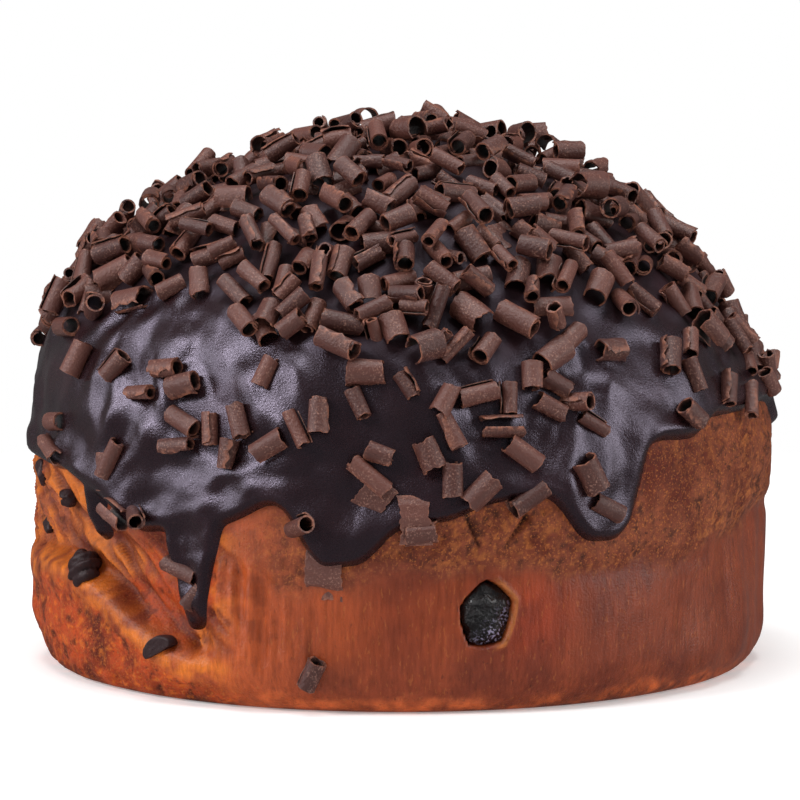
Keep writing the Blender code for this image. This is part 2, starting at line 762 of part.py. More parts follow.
def set_in_pocket(loaf, name, azimuth, z, size, tilt, sunk, finish, crumple=0.0, seed=0):
    """A piece baked into the wall, in a pocket cut just clear of it."""
    frame = wall_frame(azimuth, z, sunk)
    piece = pebble(name, size, frame, tilt, finish, crumple=crumple, seed=seed)
    cutter = pebble(name + "_pocket", size, frame, tilt, finish, grow=PIECE_GAP + crumple * size[0] / 2)
    cutter.hide_render = True
    cutter.display_type = "WIRE"
    cut = loaf.modifiers.new("pocket for " + name, "BOOLEAN")
    cut.operation = "DIFFERENCE"
    cut.object = cutter
    cut.solver = "EXACT"
    return piece


def curl_on_crust():
    """The one curl that stuck to the bare crust."""
    azimuth, z, turn = CURL_ON_CRUST
    theta, arc, level, upslope, normal = place_on_outline(azimuth, z)
    axis = swung(level, upslope, turn)
    centre = loaf_point(np.array([theta]), np.array([arc]), CURL_RADIUS * 0.7)[0]
    return Curl(centre, axis, normal, CURL_LENGTH * 0.85, CURL_RADIUS, 180, 0.0)


def build():
    for obj in list(bpy.data.objects):
        bpy.data.objects.remove(obj)
    crust = material("baked crust", (0.42, 0.15, 0.045), 0.5)
    dark = material("dark chocolate", (0.035, 0.018, 0.018), 0.25)
    fruit = material("dried fruit", (0.012, 0.010, 0.010), 0.2)
    chip = material("chocolate chip", (0.045, 0.025, 0.025), 0.45)

    loaf = make_loaf("loaf", crust)
    fuse(loaf, [curl_body("curl on crust", curl_on_crust(), crust)])

    glaze = make_glaze(dark)
    pieces = [run_body(f"run {n}", *sizes, dark) for n, sizes in enumerate(RUNS)]
    curls = shown_curls(strewn_curls())
    pieces += [curl_body(f"curl {n}", curl, dark) for n, curl in enumerate(curls)]
    fuse(glaze, pieces)
    cut_away(glaze, make_loaf("room for the crust", crust, GLAZE_GAP))
    drop_scraps(glaze)
    thin_out(glaze, GLAZE_TRIANGLES)
    print(len(curls), "curls shown")
    for obj in (loaf, glaze):
        print(obj.name, "has", sum(len(face.vertices) - 2 for face in obj.data.polygons), "triangles")

    set_in_pocket(loaf, "raisin", *RAISIN, fruit, crumple=0.06, seed=4)
    for name, place_and_size in CHIPS.items():
        set_in_pocket(loaf, name, *place_and_size, chip)


build()
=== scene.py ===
# %% [markdown]
# A low, domed panettone coated in dark chocolate and strewn with chocolate curls.
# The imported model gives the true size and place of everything. This lesson gives each of its
# pieces the finer shape and the finish of the real one: baked crust, poured chocolate, rolled
# shavings, a raisin and a few lumps of chocolate.

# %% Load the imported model
import math
from typing import NamedTuple

import bmesh
import bpy
import numpy as np
from mathutils import Matrix, Vector


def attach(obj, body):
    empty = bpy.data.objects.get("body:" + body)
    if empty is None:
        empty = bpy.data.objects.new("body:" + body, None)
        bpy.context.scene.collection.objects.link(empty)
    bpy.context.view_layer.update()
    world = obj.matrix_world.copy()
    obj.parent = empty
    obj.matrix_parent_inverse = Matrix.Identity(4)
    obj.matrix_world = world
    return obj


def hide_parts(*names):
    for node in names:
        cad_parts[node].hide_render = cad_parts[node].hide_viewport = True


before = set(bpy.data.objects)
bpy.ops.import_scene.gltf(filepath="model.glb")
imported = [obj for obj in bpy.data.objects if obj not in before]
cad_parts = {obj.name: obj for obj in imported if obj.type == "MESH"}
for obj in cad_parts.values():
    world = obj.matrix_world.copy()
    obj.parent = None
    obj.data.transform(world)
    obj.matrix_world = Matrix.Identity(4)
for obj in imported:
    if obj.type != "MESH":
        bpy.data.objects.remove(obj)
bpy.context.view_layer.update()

MM = 0.001
print("the packed model has", sorted(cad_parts))

# %% [markdown]
# Everything on this loaf follows one turned outline: a tight foot, an upright wall and a blunt
# dome. A place on it is an azimuth and a length of arc up the outline, so the crust, the glaze and
# the curls can all be described as heights above the same skin. That is easier to control than
# sculpting, and it gives the same result each time. These functions and numbers are those of the
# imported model, so the fine pieces lie exactly where the plain ones do.

# %% The loaf's outline
FOOT_RADIUS = 85.5 * MM
FOOT_RISE = 13 * MM
WALL_RADIUS = 92.6 * MM
SPRING_HEIGHT = 52 * MM
LOAF_HEIGHT = 128 * MM
DOME_POWER = 1.97


def smooth(x, low, high):
    """0 below low and 1 above high, with a soft step between."""
    t = np.clip((x - low) / (high - low), 0.0, 1.0)
    return t * t * (3 - 2 * t)


def hill(azimuth, centre, width, power=2):
    """A rounded rise of 1 round an azimuth, in degrees, that closes on itself behind the loaf."""
    away = np.abs((azimuth - centre + 180) % 360 - 180) / width
    return np.exp(-(away**power))


def bump(x, centre, width):
    return np.exp(-(((x - centre) / width) ** 2))


def outline():
    """Arc length, radius, height and outward normal from the edge of the base to the top."""
    steps = 200
    corner = np.linspace(0, math.pi / 2, steps)
    radius = [FOOT_RADIUS + (WALL_RADIUS - FOOT_RADIUS) * np.sin(corner)]
    height = [FOOT_RISE * (1 - np.cos(corner))]
    radius.append(np.full(steps, WALL_RADIUS))
    height.append(np.linspace(FOOT_RISE, SPRING_HEIGHT, steps))
    power = 2 / DOME_POWER
    radius.append(WALL_RADIUS * np.cos(corner) ** power)
    height.append(SPRING_HEIGHT + (LOAF_HEIGHT - SPRING_HEIGHT) * np.sin(corner) ** power)
    r, z = np.concatenate(radius), np.concatenate(height)
    r[-1] = 0.0
    step = np.hypot(np.diff(r), np.diff(z))
    kept = np.concatenate([[True], step > 1e-7])
    r, z = r[kept], z[kept]
    s = np.concatenate([[0.0], np.cumsum(np.hypot(np.diff(r), np.diff(z)))])
    dr, dz = np.gradient(r, s), np.gradient(z, s)
    size = np.hypot(dr, dz)
    return s, r, z, dz / size, -dr / size


ARC, ARC_RADIUS, ARC_HEIGHT, ARC_OUT, ARC_UP = outline()
ARC_TOP = ARC[-1]
print("the outline is", round(ARC_TOP / MM), "mm long from foot to top")


def arc_at_height(z):
    return np.interp(z, ARC_HEIGHT, ARC)


def height_at(arc):
    return np.interp(arc, ARC, ARC_HEIGHT)


def outline_point(theta, arc, lift=0.0):
    """The point at an azimuth and an arc length, moved out along the outline's normal by lift."""
    r = np.interp(arc, ARC, ARC_RADIUS) + lift * np.interp(arc, ARC, ARC_OUT)
    z = np.interp(arc, ARC, ARC_HEIGHT) + lift * np.interp(arc, ARC, ARC_UP)
    return np.stack([r * np.sin(theta), -r * np.cos(theta), z], axis=-1)


def outline_normal(theta, arc):
    out, up = np.interp(arc, ARC, ARC_OUT), np.interp(arc, ARC, ARC_UP)
    return np.stack([out * np.sin(theta), -out * np.cos(theta), up], axis=-1)


def round_to_front(theta):
    """The azimuth in degrees, from -180 to 180."""
    return (np.degrees(theta) + 180) % 360 - 180


# %% [markdown]
# Two kinds of randomness shape the bread. Long soft swellings come from a few plane waves in
# random directions. Fine crumbs, pits and streaks come from layered lattice noise. Both are
# seeded, so that the loaf is the same loaf in every run.

# %% Random relief
def lumps(points, spacing, seed, waves=20):
    """Smooth random relief of about unit height, from plane waves in random directions."""
    draw = np.random.default_rng(seed)
    heading = draw.normal(size=(waves, 3))
    heading /= np.linalg.norm(heading, axis=1, keepdims=True)
    phase = draw.uniform(0, 2 * math.pi, waves)
    along = points @ (heading.T * 2 * math.pi / spacing)
    return np.sin(along + phase).sum(axis=-1) * math.sqrt(2 / waves)


def grain(points, spacing, seed, layers=3):
    """Fine random relief of about unit height: layers of noise, each half as large as the last."""
    total, size = 0.0, 1.0
    for layer in range(layers):
        lattice = np.random.default_rng(seed + layer).uniform(-1, 1, (32, 32, 32))
        at = points * (2**layer / spacing)
        cell = np.floor(at).astype(int)
        share = at - cell
        share = share * share * (3 - 2 * share)
        value = 0.0
        for corner in np.ndindex(2, 2, 2):
            weight = np.prod(np.where(corner, share, 1 - share), axis=-1)
            i, j, k = np.moveaxis((cell + np.array(corner)) % 32, -1, 0)
            value = value + weight * lattice[i, j, k]
        total, size = total + size * value, size * 0.5
    return total * 1.5


# %% [markdown]
# The glaze ends in lobes and drips. Its lower edge is a height for each azimuth, with a rounded
# hill pulled down for each drip. The crust needs to know this edge too, because its rim and
# pleats fade out under the chocolate.

# %% The glaze's lower edge
EDGE_HEIGHT = 51 * MM
EDGE_RISE_AT_RIGHT = 11 * MM
DRIPS = [
    (-36.5, 15, 10.5 * MM),
    (-8.5, 6.5, 17 * MM),
    (4, 7.5, 6 * MM),
    (30, 6.5, 11.5 * MM),
    (88, 5, 7 * MM),
    (112, 8, 12 * MM),
    (134, 6, 7 * MM),
    (153, 9, 15 * MM),
    (176, 6, 9 * MM),
    (-162, 10, 13 * MM),
    (-138, 6, 6 * MM),
    (-120, 8, 12 * MM),
    (-101, 5, 5 * MM),
]


def edge_height(azimuth):
    right = smooth(azimuth, 35, 39) * (1 + 0.35 * smooth(azimuth, 48, 55))
    right = right * (1 - smooth(azimuth, 100, 118))
    z = EDGE_HEIGHT + EDGE_RISE_AT_RIGHT * right + 4 * MM * hill(azimuth, -92, 20)
    for centre, half_width, length in DRIPS:
        z = z - length * hill(azimuth, centre, half_width, power=3)
    return z


def edge_arc(azimuth):
    return arc_at_height(edge_height(azimuth))


edge = edge_height(np.arange(-180, 180)) / MM
print("the glaze ends", round(edge.min()), "to", round(edge.max()), "mm above the base")

# %% [markdown]
# In a few places thin chocolate ran further down the wall and stopped in a rounded tip. Such a
# run is a strip that narrows downwards, and how far a point lies inside it is easy to work out.

# %% Narrow runs below the edge
# Azimuth and height at the top, the same at the foot, and the half widths at both
RUNS = [
    (-31.5, 44 * MM, -33, 17.5 * MM, 8.4 * MM, 4.6 * MM),
    (-53, 48 * MM, -53.5, 36 * MM, 3.4 * MM, 3 * MM),
    (128, 46 * MM, 127, 22 * MM, 4 * MM, 3 * MM),
]


def distance_in_run(theta, z, run):
    azimuth_top, top, azimuth_foot, foot, half_top, half_foot = run
    share = np.clip((top - z) / (top - foot), 0, 1)
    middle = np.radians(azimuth_top + (azimuth_foot - azimuth_top) * share)
    across = ((theta - middle + math.pi) % (2 * math.pi) - math.pi) * WALL_RADIUS
    across = across + 0.3 * MM * np.sin(z / (5 * MM))
    half = half_top + (half_foot - half_top) * smooth(share, 0, 0.9)
    low = np.maximum(foot + half_foot - z, 0)
    high = np.maximum(z - top, 0)
    return half - np.hypot(across, low + high)


print(len(RUNS), "narrow runs, the longest", round(max(r[1] - r[3] for r in RUNS) / MM), "mm")

# %% [markdown]
# The crust rose in a paper case. Low down the case kept it smooth and left upright pleats.
# Higher up it burst out over the case in a mottled rim, and at the front left it tore: a low
# rolled lip stayed behind, and slanting folds opened above it.

# %% The crust's main relief
SWELL, SWELL_SPACING = 0.7 * MM, 75 * MM
DIMPLE, DIMPLE_SPACING = 0.4 * MM, 30 * MM
RIM_OVERHANG = 0.9 * MM
PLEAT_PITCH = 11.5
PLEAT_DEPTH = 1.3 * MM
UNEVEN = [
    (-86, 34, 88 * MM, 14 * MM, 3.4 * MM),
    (-90, 26, 58 * MM, 9 * MM, -2.2 * MM),
    (84, 30, 90 * MM, 14 * MM, -2.4 * MM),
]
TEAR_LEFT, TEAR_RIGHT = -98.0, -29.5
TEAR_DEPTH = 4.5 * MM


def pleats(azimuth):
    """Upright grooves left by the folds of the paper case, deepest at the right."""
    draw = np.random.default_rng(11)
    strength = 0.3 + 0.9 * hill(azimuth, 72, 28) + 0.7 * hill(azimuth, -24, 9)
    strength = strength + 0.45 * hill(azimuth, 170, 60)
    groove = 0
    for n in range(round(360 / PLEAT_PITCH)):
        centre = (n + draw.uniform(-0.3, 0.3)) * PLEAT_PITCH
        groove = groove + draw.uniform(0.4, 1.0) * hill(azimuth, centre, draw.uniform(2.6, 4.2))
    return PLEAT_DEPTH * strength * (0.5 - groove)


def lip_height(azimuth):
    return (29 - 18 * smooth(azimuth, -62, -28)) * MM


def rim_height(azimuth):
    wander = np.sin(np.radians(azimuth * 5)) + 0.6 * np.sin(np.radians(azimuth * 11 + 40))
    return (32 + 9 * hill(azimuth, 80, 32) + 4 * hill(azimuth, 170, 60) + 1.1 * wander) * MM


def torn_share(azimuth):
    left = smooth(azimuth, TEAR_LEFT - 14, TEAR_LEFT)
    return left * (1 - smooth(azimuth, TEAR_RIGHT, TEAR_RIGHT + 8))


def tear(azimuth, z):
    """The pulled-open crust at the front left."""
    lip = lip_height(azimuth)
    across = smooth(azimuth, TEAR_LEFT, -66) * (1 - smooth(azimuth, TEAR_RIGHT - 3, TEAR_RIGHT + 2))
    above = smooth(z, lip - 1 * MM, lip + 3 * MM)
    above = above * (1 - 0.7 * smooth(z, lip + 9 * MM, lip + 25 * MM))
    folds = np.sin((z + 0.35 * MM * azimuth) * 2 * math.pi / (11 * MM))
    roll = bump(z, lip - 3.5 * MM, 4 * MM)
    return across * (above * (0.8 * MM * folds - TEAR_DEPTH) + 1.2 * MM * roll)


def loaf_relief(theta, arc):
    """How far the crust stands out from its smooth outline."""
    azimuth, z = round_to_front(theta), height_at(arc)
    point = outline_point(theta, arc)
    soft = SWELL * lumps(point, SWELL_SPACING, seed=3)
    soft = soft + DIMPLE * lumps(point, DIMPLE_SPACING, seed=5)
    for centre, width, height, reach, rise in UNEVEN:
        soft = soft + rise * hill(azimuth, centre, width) * bump(z, height, reach)
    rim = rim_height(azimuth)
    crust = RIM_OVERHANG * smooth(z, rim - 1 * MM, rim + 4 * MM)
    crust = crust - 0.5 * MM * hill(azimuth, 75, 45) * bump(z, rim - 2 * MM, 2 * MM)
    whole = 1 - torn_share(azimuth)
    creased = (crust + pleats(azimuth) * (1 - smooth(z, rim - 4 * MM, rim + 3 * MM))) * whole
    sharp = (creased + tear(azimuth, z)) * (1 - smooth(arc - edge_arc(azimuth), -1 * MM, 5 * MM))
    return (soft + sharp) * smooth(z, 0, 0.8 * FOOT_RISE)


def loaf_point(theta, arc, lift=0.0):
    return outline_point(theta, arc, loaf_relief(theta, arc) + lift)


round_the_wall = np.radians(np.arange(-180.0, 180.0, 2))
relief = loaf_relief(round_the_wall, np.full_like(round_the_wall, arc_at_height(35 * MM)))
print("35 mm up, the crust lies", round(relief.min() / MM, 1), "to", round(relief.max() / MM, 1),
      "mm off its outline")

# %% [markdown]
# The raisin and the lumps of chocolate are baked into the wall. Each has a place on it, a size
# and a tilt. The crust sinks into a pocket round each of them, with a torn rim at the raisin.

# %% Pockets in the wall
RAISIN = (12.5, 23.5, (12.5 * MM, 8 * MM, 16 * MM), 12, 3.4 * MM)
CHIPS = {
    "chip_lump": (-56.5, 28.5, (9.5 * MM, 8 * MM, 11 * MM), 25, -0.6 * MM),
    "chip_foot": (-37.5, 13, (9.5 * MM, 4 * MM, 6 * MM), -28, 0.3 * MM),
    "chip_edge": (-74, 49.5, (5.5 * MM, 5 * MM, 7.5 * MM), -15, 0.3 * MM),
    "chip_pointed": (-62, 45, (6.5 * MM, 5 * MM, 7 * MM), 40, 0.3 * MM),
    "chip_limb": (-79, 35, (7 * MM, 4.5 * MM, 6 * MM), 15, 0.3 * MM),
}
RAISIN_SIDES, RAISIN_ROUNDNESS, RAISIN_TURN = 5, 0.42, 40
RAISIN_POCKET, CHIP_POCKET, CLEFT_DEPTH = 4.2 * MM, 0.8 * MM, 1.6 * MM
# Two gaps in the crust: azimuth and height at the top, then at the foot
CLEFTS = [(9.4, 47 * MM, 11.2, 40 * MM), (18.2, 46 * MM, 15.6, 40.5 * MM)]


def many_sided(angle, sides, roundness, turn=0.0):
    """How far the edge of a shape with flat sides lies in from a circle of radius 1."""
    part = ((angle + math.radians(turn)) % (2 * math.pi / sides)) - math.pi / sides
    flat = math.cos(math.pi / sides) / np.cos(part)
    return 1 - (1 - flat) * (1 - roundness)


def pocket_distance(theta, z, place, sides=0, turn=0.0):
    """1 at the edge of a piece set in the wall, less inside it; and how far right a point lies."""
    azimuth, height, size, tilt, sunk = place
    across = (theta - math.radians(azimuth)) * WALL_RADIUS
    up = z - height * MM
    swing = math.radians(tilt)
    x = (across * math.cos(swing) - up * math.sin(swing)) / (size[0] / 2)
    y = (across * math.sin(swing) + up * math.cos(swing)) / (size[2] / 2)
    edge = many_sided(np.arctan2(y, x), sides, RAISIN_ROUNDNESS, turn) if sides else 1.0
    return np.hypot(x, y) / edge, across


def cleft_distance(theta, z):
    """How far a point lies from the nearer of two short gaps that open under the glaze's edge."""
    away = []
    for azimuth_top, top, azimuth_foot, foot in CLEFTS:
        share = np.clip((top - z) / (top - foot), 0, 1)
        middle = np.radians(azimuth_top + (azimuth_foot - azimuth_top) * share)
        beyond = np.maximum(foot - z, 0) + np.maximum(z - top, 0)
        away.append(np.hypot((theta - middle) * WALL_RADIUS, beyond) + 0.7 * MM * share)
    return np.minimum(*away)


def pockets(theta, z):
    relief = -CLEFT_DEPTH * (1 - smooth(cleft_distance(theta, z), 0.1 * MM, 1.8 * MM))
    for place in CHIPS.values():
        away = pocket_distance(theta, z, place)[0]
        relief = relief - CHIP_POCKET * (1 - smooth(away, 0.8, 1.35))
    away, across = pocket_distance(theta, z, RAISIN, RAISIN_SIDES, RAISIN_TURN)
    relief = relief - RAISIN_POCKET * (1 - smooth(away, 0.97, 1.07))
    return relief + 1.1 * MM * bump(away, 1.14, 0.07) * smooth(across, -1 * MM, 4 * MM)


print(len(CHIPS) + 1, "pockets and", len(CLEFTS), "clefts in the wall")

# %% [markdown]
# The fine relief depends on the kind of crust: faint upright streaks where the paper lay, pits
# and crumbs on the mottled rim, a rough scorched band below the tear's lip, and long drawn
# strands above it. Each kind is a share from 0 to 1, and the same shares choose the colours.

# %% Kinds of crust
def kinds_of_crust(theta, arc):
    azimuth, z = round_to_front(theta), height_at(arc)
    torn, lip, rim = torn_share(azimuth), lip_height(azimuth), rim_height(azimuth)
    sway = 1.5 * MM * grain(outline_point(theta, arc), 9 * MM, 71, 2)
    burst = (1 - torn) * smooth(z + 1.6 * sway, rim - 2 * MM, rim + 3 * MM)
    pleated = hill(azimuth, -24, 10) * smooth(z, 8 * MM, 14 * MM)
    return {
        "mottled": burst * (1 - 0.75 * hill(azimuth, -24, 9)),
        "scorched": torn * (1 - smooth(z + sway, lip - 6 * MM, lip - 3 * MM)),
        "golden": torn * bump(z + sway, lip - 1.5 * MM, 3.4 * MM),
        "drawn": torn * smooth(z + sway, lip + 1 * MM, lip + 4 * MM),
        "rippled": pleated * (1 - smooth(z, rim, rim + 6 * MM)),
        "foot": 1 - smooth(z + sway, 2 * MM, 5 * MM),
    }


STRAND_SLOPE, STRAND_STRETCH = 0.75, 0.28


def strand_noise(theta, arc):
    """Noise drawn out along strands that climb leftwards over the tear."""
    across = theta * WALL_RADIUS
    climb, along = arc + STRAND_SLOPE * across, across * STRAND_STRETCH
    return grain(np.stack([climb, along, np.zeros_like(arc)], axis=-1), 5 * MM, 91, 3)


def fine_relief(theta, arc, kinds):
    point = outline_point(theta, arc)
    upright = point * (1, 1, 0.12)
    pits = grain(point, 3.2 * MM, 81)
    strands = 1 - 2 * np.abs(strand_noise(theta, arc))
    ripples = 1 - 2 * np.abs(grain(upright, 4 * MM, 95, 2))
    relief = 0.05 * MM * grain(upright, 1.6 * MM, 85, 2)
    humps, knobs = grain(point, 9 * MM, 83, 2), grain(point, 7 * MM, 87, 2)
    mottled = 0.36 * MM * np.minimum(pits, 0.3) + 0.3 * MM * humps
    scorched = 0.42 * MM * np.minimum(pits, 0.4) + 0.3 * MM * knobs
    relief = relief + kinds["mottled"] * mottled
    relief = relief + kinds["scorched"] * scorched
    relief = relief + kinds["drawn"] * (0.85 * MM * strands + 0.2 * MM * pits)
    relief = relief + kinds["rippled"] * 0.85 * MM * ripples
    relief = relief + kinds["foot"] * 0.2 * MM * pits
    return relief * smooth(height_at(arc), 0, 3 * MM) + pockets(theta, height_at(arc))


print("kinds of crust:", *kinds_of_crust(np.zeros(1), np.zeros(1)))

# %% [markdown]
# Colours are mixed at each point of the crust from a few named ones, as a painter would: a base,
# then streaks, then flecks where that kind of crust has them. They are stored with the mesh, and
# the material adds what is finer than the mesh.

# %% Crust colours
def colour(red, green, blue):
    """A colour picked on screen, from 0 to 255, as the linear light that a shader works with."""
    c = np.array([red, green, blue]) / 255
    return np.where(c <= 0.04045, c / 12.92, ((c + 0.055) / 1.055) ** 2.4)


WALL, WALL_DEEP, WALL_WARM = colour(122, 48, 20), colour(88, 32, 18), colour(178, 80, 32)
MOTTLED_AND_SHEEN, OCHRE, SCORCH_AND_SHADE = colour(118, 58, 35), colour(170, 98, 44), colour(44, 18, 12)
TORN, TORN_DEEP_AND_SHADE, GOLD = colour(162, 60, 16), colour(94, 30, 12), colour(206, 108, 22)
STRAND, FOOT, EMBER = colour(142, 70, 42), colour(190, 88, 38), colour(166, 56, 16)


def mixed(base, top, share):
    share = np.clip(share, 0, 1)[..., None]
    return base * (1 - share) + top * share


print("the wall's base colour is", np.round(WALL, 3), "in linear light")

# %% [markdown]
# The wall is the plain part: a warm brown with paler and darker patches, a paler pinkish right side
# that is painted sheen, a foot that is lighter where the base rubbed it, and a rim speckled with
# ochre. The same four sizes of noise serve all of these, so that dark and pale spots keep clear of
# each other as they do in real crust.

# %% Paint the wall
NOISE_SIZES = ((26, 11), (8, 21), (2.6, 31), (1.15, 35))


def crust_noise(theta, arc):
    """Noise from broad patches down to specks; each size is in mm and has its own seed."""
    point = outline_point(theta, arc)
    return [grain(point, size * MM, seed) for size, seed in NOISE_SIZES]


def wall_colour(theta, arc, kinds, noise):
    azimuth, z = round_to_front(theta), height_at(arc)
    broad, middle, fine, speck = noise
    streak = grain(outline_point(theta, arc) * (1, 1, 0.1), 2.6 * MM, 41, 2)
    warm = 0.2 * broad + 0.75 * hill(azimuth, -27, 13) + 0.25 * hill(azimuth, -5, 14)
    c = mixed(WALL, WALL_WARM, warm)
    c = mixed(c, EMBER, hill(azimuth, 19, 5) * bump(z, 22 * MM, 8 * MM) * 0.8)
    # painted sheen: the right side of the wall is lightened towards a pinkish brown in place of its
    # satin sheen
    c = mixed(c, MOTTLED_AND_SHEEN, 0.45 * hill(azimuth, 52, 26))
    c = mixed(c, WALL_DEEP, 0.22 + 0.1 * streak + 0.25 * middle + 0.15 * broad)
    c = mixed(c, FOOT, kinds["foot"] * (0.5 + 0.5 * fine))
    c = mixed(c, mixed(MOTTLED_AND_SHEEN, WALL_DEEP, 0.35 + 0.6 * middle), kinds["mottled"])
    speckled = smooth(speck + 0.35 * middle + 0.15 * fine, 0.1, 1.2) * (0.34 + 0.34 * broad)
    c = mixed(c, OCHRE, kinds["mottled"] * np.clip(speckled, 0, 0.5))
    dark = smooth(-0.7 * speck - 0.6 * fine - 0.5 * middle, 0.5, 1.3)
    c = mixed(c, SCORCH_AND_SHADE, kinds["mottled"] * dark * 0.65)
    return mixed(c, WALL_WARM, kinds["rippled"] * smooth(fine + middle, -0.4, 0.6) * 0.6)


# %% [markdown]
# Where the crust tore, the crumb inside met the oven's heat: a scorched orange band with dark
# pores, a golden lip, and above it strands that alternate between brown and gold, with painted
# shade in the grooves between them. Last, the clefts and the gap round the raisin get painted
# shade, and the torn flap at the raisin gets its ochre.

# %% Paint the tear and the pockets
def torn_colour(c, theta, arc, kinds, noise):
    broad, middle, fine, speck = noise
    c = mixed(c, mixed(TORN, TORN_DEEP_AND_SHADE, 0.3 + 0.8 * middle), kinds["scorched"])
    c = mixed(c, GOLD, kinds["scorched"] * smooth(speck + 0.4 * fine, 0.5, 1.2) * 0.45)
    c = mixed(c, SCORCH_AND_SHADE, kinds["scorched"] * smooth(-fine - 0.5 * middle, 0.6, 1.3) * 0.7)
    drawn = mixed(TORN, STRAND, 0.5 + broad)
    drawn = mixed(drawn, GOLD, smooth(middle + 0.5 * broad, -0.2, 0.8) * 0.8)
    drawn = mixed(drawn, SCORCH_AND_SHADE, smooth(-fine - 0.5 * middle, 0.5, 1.2) * 0.6)
    # painted shade: the grooves between the strands are darkened towards a deep brown
    groove_shade = smooth(np.abs(strand_noise(theta, arc)), 0.25, 0.9)
    c = mixed(c, mixed(drawn, TORN_DEEP_AND_SHADE, groove_shade * 0.85), kinds["drawn"])
    return mixed(c, GOLD, kinds["golden"] * np.clip(0.55 + 0.5 * fine, 0, 0.9))


def crust_colour(theta, arc, kinds):
    noise, z = crust_noise(theta, arc), height_at(arc)
    c = torn_colour(wall_colour(theta, arc, kinds, noise), theta, arc, kinds, noise)
    # painted shade: the clefts are darkened to near black
    c = mixed(c, SCORCH_AND_SHADE * 0.3, 1 - smooth(cleft_distance(theta, z), 0.2 * MM, 1.1 * MM))
    away, across = pocket_distance(theta, z, RAISIN, RAISIN_SIDES, RAISIN_TURN)
    c = mixed(c, OCHRE, 0.95 * bump(away, 1.13, 0.08) * smooth(across, 1 * MM, 3.5 * MM))
    # painted shade: the crust in the pocket round the raisin is darkened to near black
    return mixed(c, SCORCH_AND_SHADE, 0.85 * (1 - smooth(away, 0.97, 1.05)))


# %% [markdown]
# A skin of points in rows and columns becomes a mesh of four-sided faces. The columns crowd
# towards the front, where the loaf is seen from nearest, and the rows crowd where the crust
# shows. Faces that nothing can see, deep under the glaze, are left out of the glaze's skin.

# %% Skins from rows of points
CROWDING_AT_FRONT = 0.38
COLUMNS = 600


def columns(count):
    even = np.arange(count) * 2 * math.pi / count
    return even - CROWDING_AT_FRONT * np.sin(even)


def skin_faces(rows, count, first=0):
    """Faces between rows of count points each, closed round the loaf."""
    low = first + np.arange(rows - 1)[:, None] * count + np.arange(count)
    right = first + np.arange(rows - 1)[:, None] * count + np.roll(np.arange(count), -1)
    return np.stack([low, right, right + count, low + count], axis=-1).reshape(-1, 4)


def fan_faces(ring, pole):
    return np.stack([ring, np.roll(ring, -1), np.full(len(ring), pole)], axis=-1)


def new_piece(name, points, faces, material, node=None):
    """A smooth piece that rides on the loaf; faces is a list of arrays of equal-sided faces."""
    mesh = bpy.data.meshes.new(name)
    corners = [face for block in faces for face in block.tolist()]
    mesh.from_pydata(points.reshape(-1, 3).tolist(), [], corners)
    mesh.materials.append(material)
    mesh.polygons.foreach_set("use_smooth", [True] * len(mesh.polygons))
    made = bpy.data.objects.new(name, mesh)
    bpy.context.scene.collection.objects.link(made)
    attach(made, "root")
    for name in node or []:
        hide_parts(name)
    print(made.name, "has", sum(len(block) * (block.shape[1] - 2) for block in faces), "triangles")
    return made


def store(obj, name, values):
    """Keeps a value or a colour at each point of a mesh, for its material to read."""
    values, kept = np.asarray(values, np.float32), obj.data.attributes
    if values.ndim == 1:
        kept.new(name, "FLOAT", "POINT").data.foreach_set("value", values)
    else:
        full = np.concatenate([values, np.ones((len(values), 1), np.float32)], axis=1)
        kept.new(name, "FLOAT_COLOR", "POINT").data.foreach_set("color", full.ravel())


pitch = np.diff(columns(COLUMNS)) * WALL_RADIUS / MM
print("columns stand", round(pitch.min(), 2), "mm apart in front,", round(pitch.max(), 2), "behind")

# %% [markdown]
# Materials are built from nodes. This small helper adds a node, sets its values and links
# whatever comes from another node, which keeps each material short enough to read at a glance.

# %% Node helpers
def node(tree, kind, inputs=None, **settings):
    made = tree.nodes.new("ShaderNode" + kind)
    for key, value in settings.items():
        setattr(made, key, value)
    for socket, value in (inputs or {}).items():
        if isinstance(value, bpy.types.NodeSocket):
            tree.links.new(value, made.inputs[socket])
        else:
            made.inputs[socket].default_value = value
    return made


def blend(tree, share, first, second, how="MIX"):
    """Mixes two colours; in Blender 4.5 a Mix node's colour sockets are numbers 6 and 7."""
    mix = node(tree, "Mix", {0: share, 6: first, 7: second}, data_type="RGBA", blend_type=how)
    return mix.outputs[2]


def stored(tree, name):
    return node(tree, "Attribute", attribute_name=name)


def ramp(tree, value, limits, given=(0.0, 1.0)):
    """Maps a value from one range on to another; a Map Range node has them in sockets 1 to 4."""
    sockets = {0: value, 1: given[0], 2: given[1], 3: limits[0], 4: limits[1]}
    return node(tree, "MapRange", sockets).outputs[0]


def times(tree, value, other, how="MULTIPLY"):
    return node(tree, "Math", {0: value, 1: other}, operation=how).outputs[0]


def rgba(c):
    return (*[float(x) for x in c], 1.0)


# %% [markdown]
# Two effects turn up in nearly every finish here, so each is a node group. Flecks are small
# irregular spots, such as baked sugar, cocoa powder or dry chocolate bloom. Grain is a fine uneven
# height for a Bump node. A group only puts out masks and heights that change over the surface:
# the shader itself stays in the material.

# %% Shared effects
def new_group(name, inputs, output):
    group = bpy.data.node_groups.new(name, "ShaderNodeTree")
    for label, value in inputs.items():
        socket = group.interface.new_socket(label, in_out="INPUT", socket_type="NodeSocketFloat")
        socket.default_value = value
    group.interface.new_socket(output, in_out="OUTPUT", socket_type="NodeSocketFloat")
    return group, group.nodes.new("NodeGroupInput"), group.nodes.new("NodeGroupOutput")


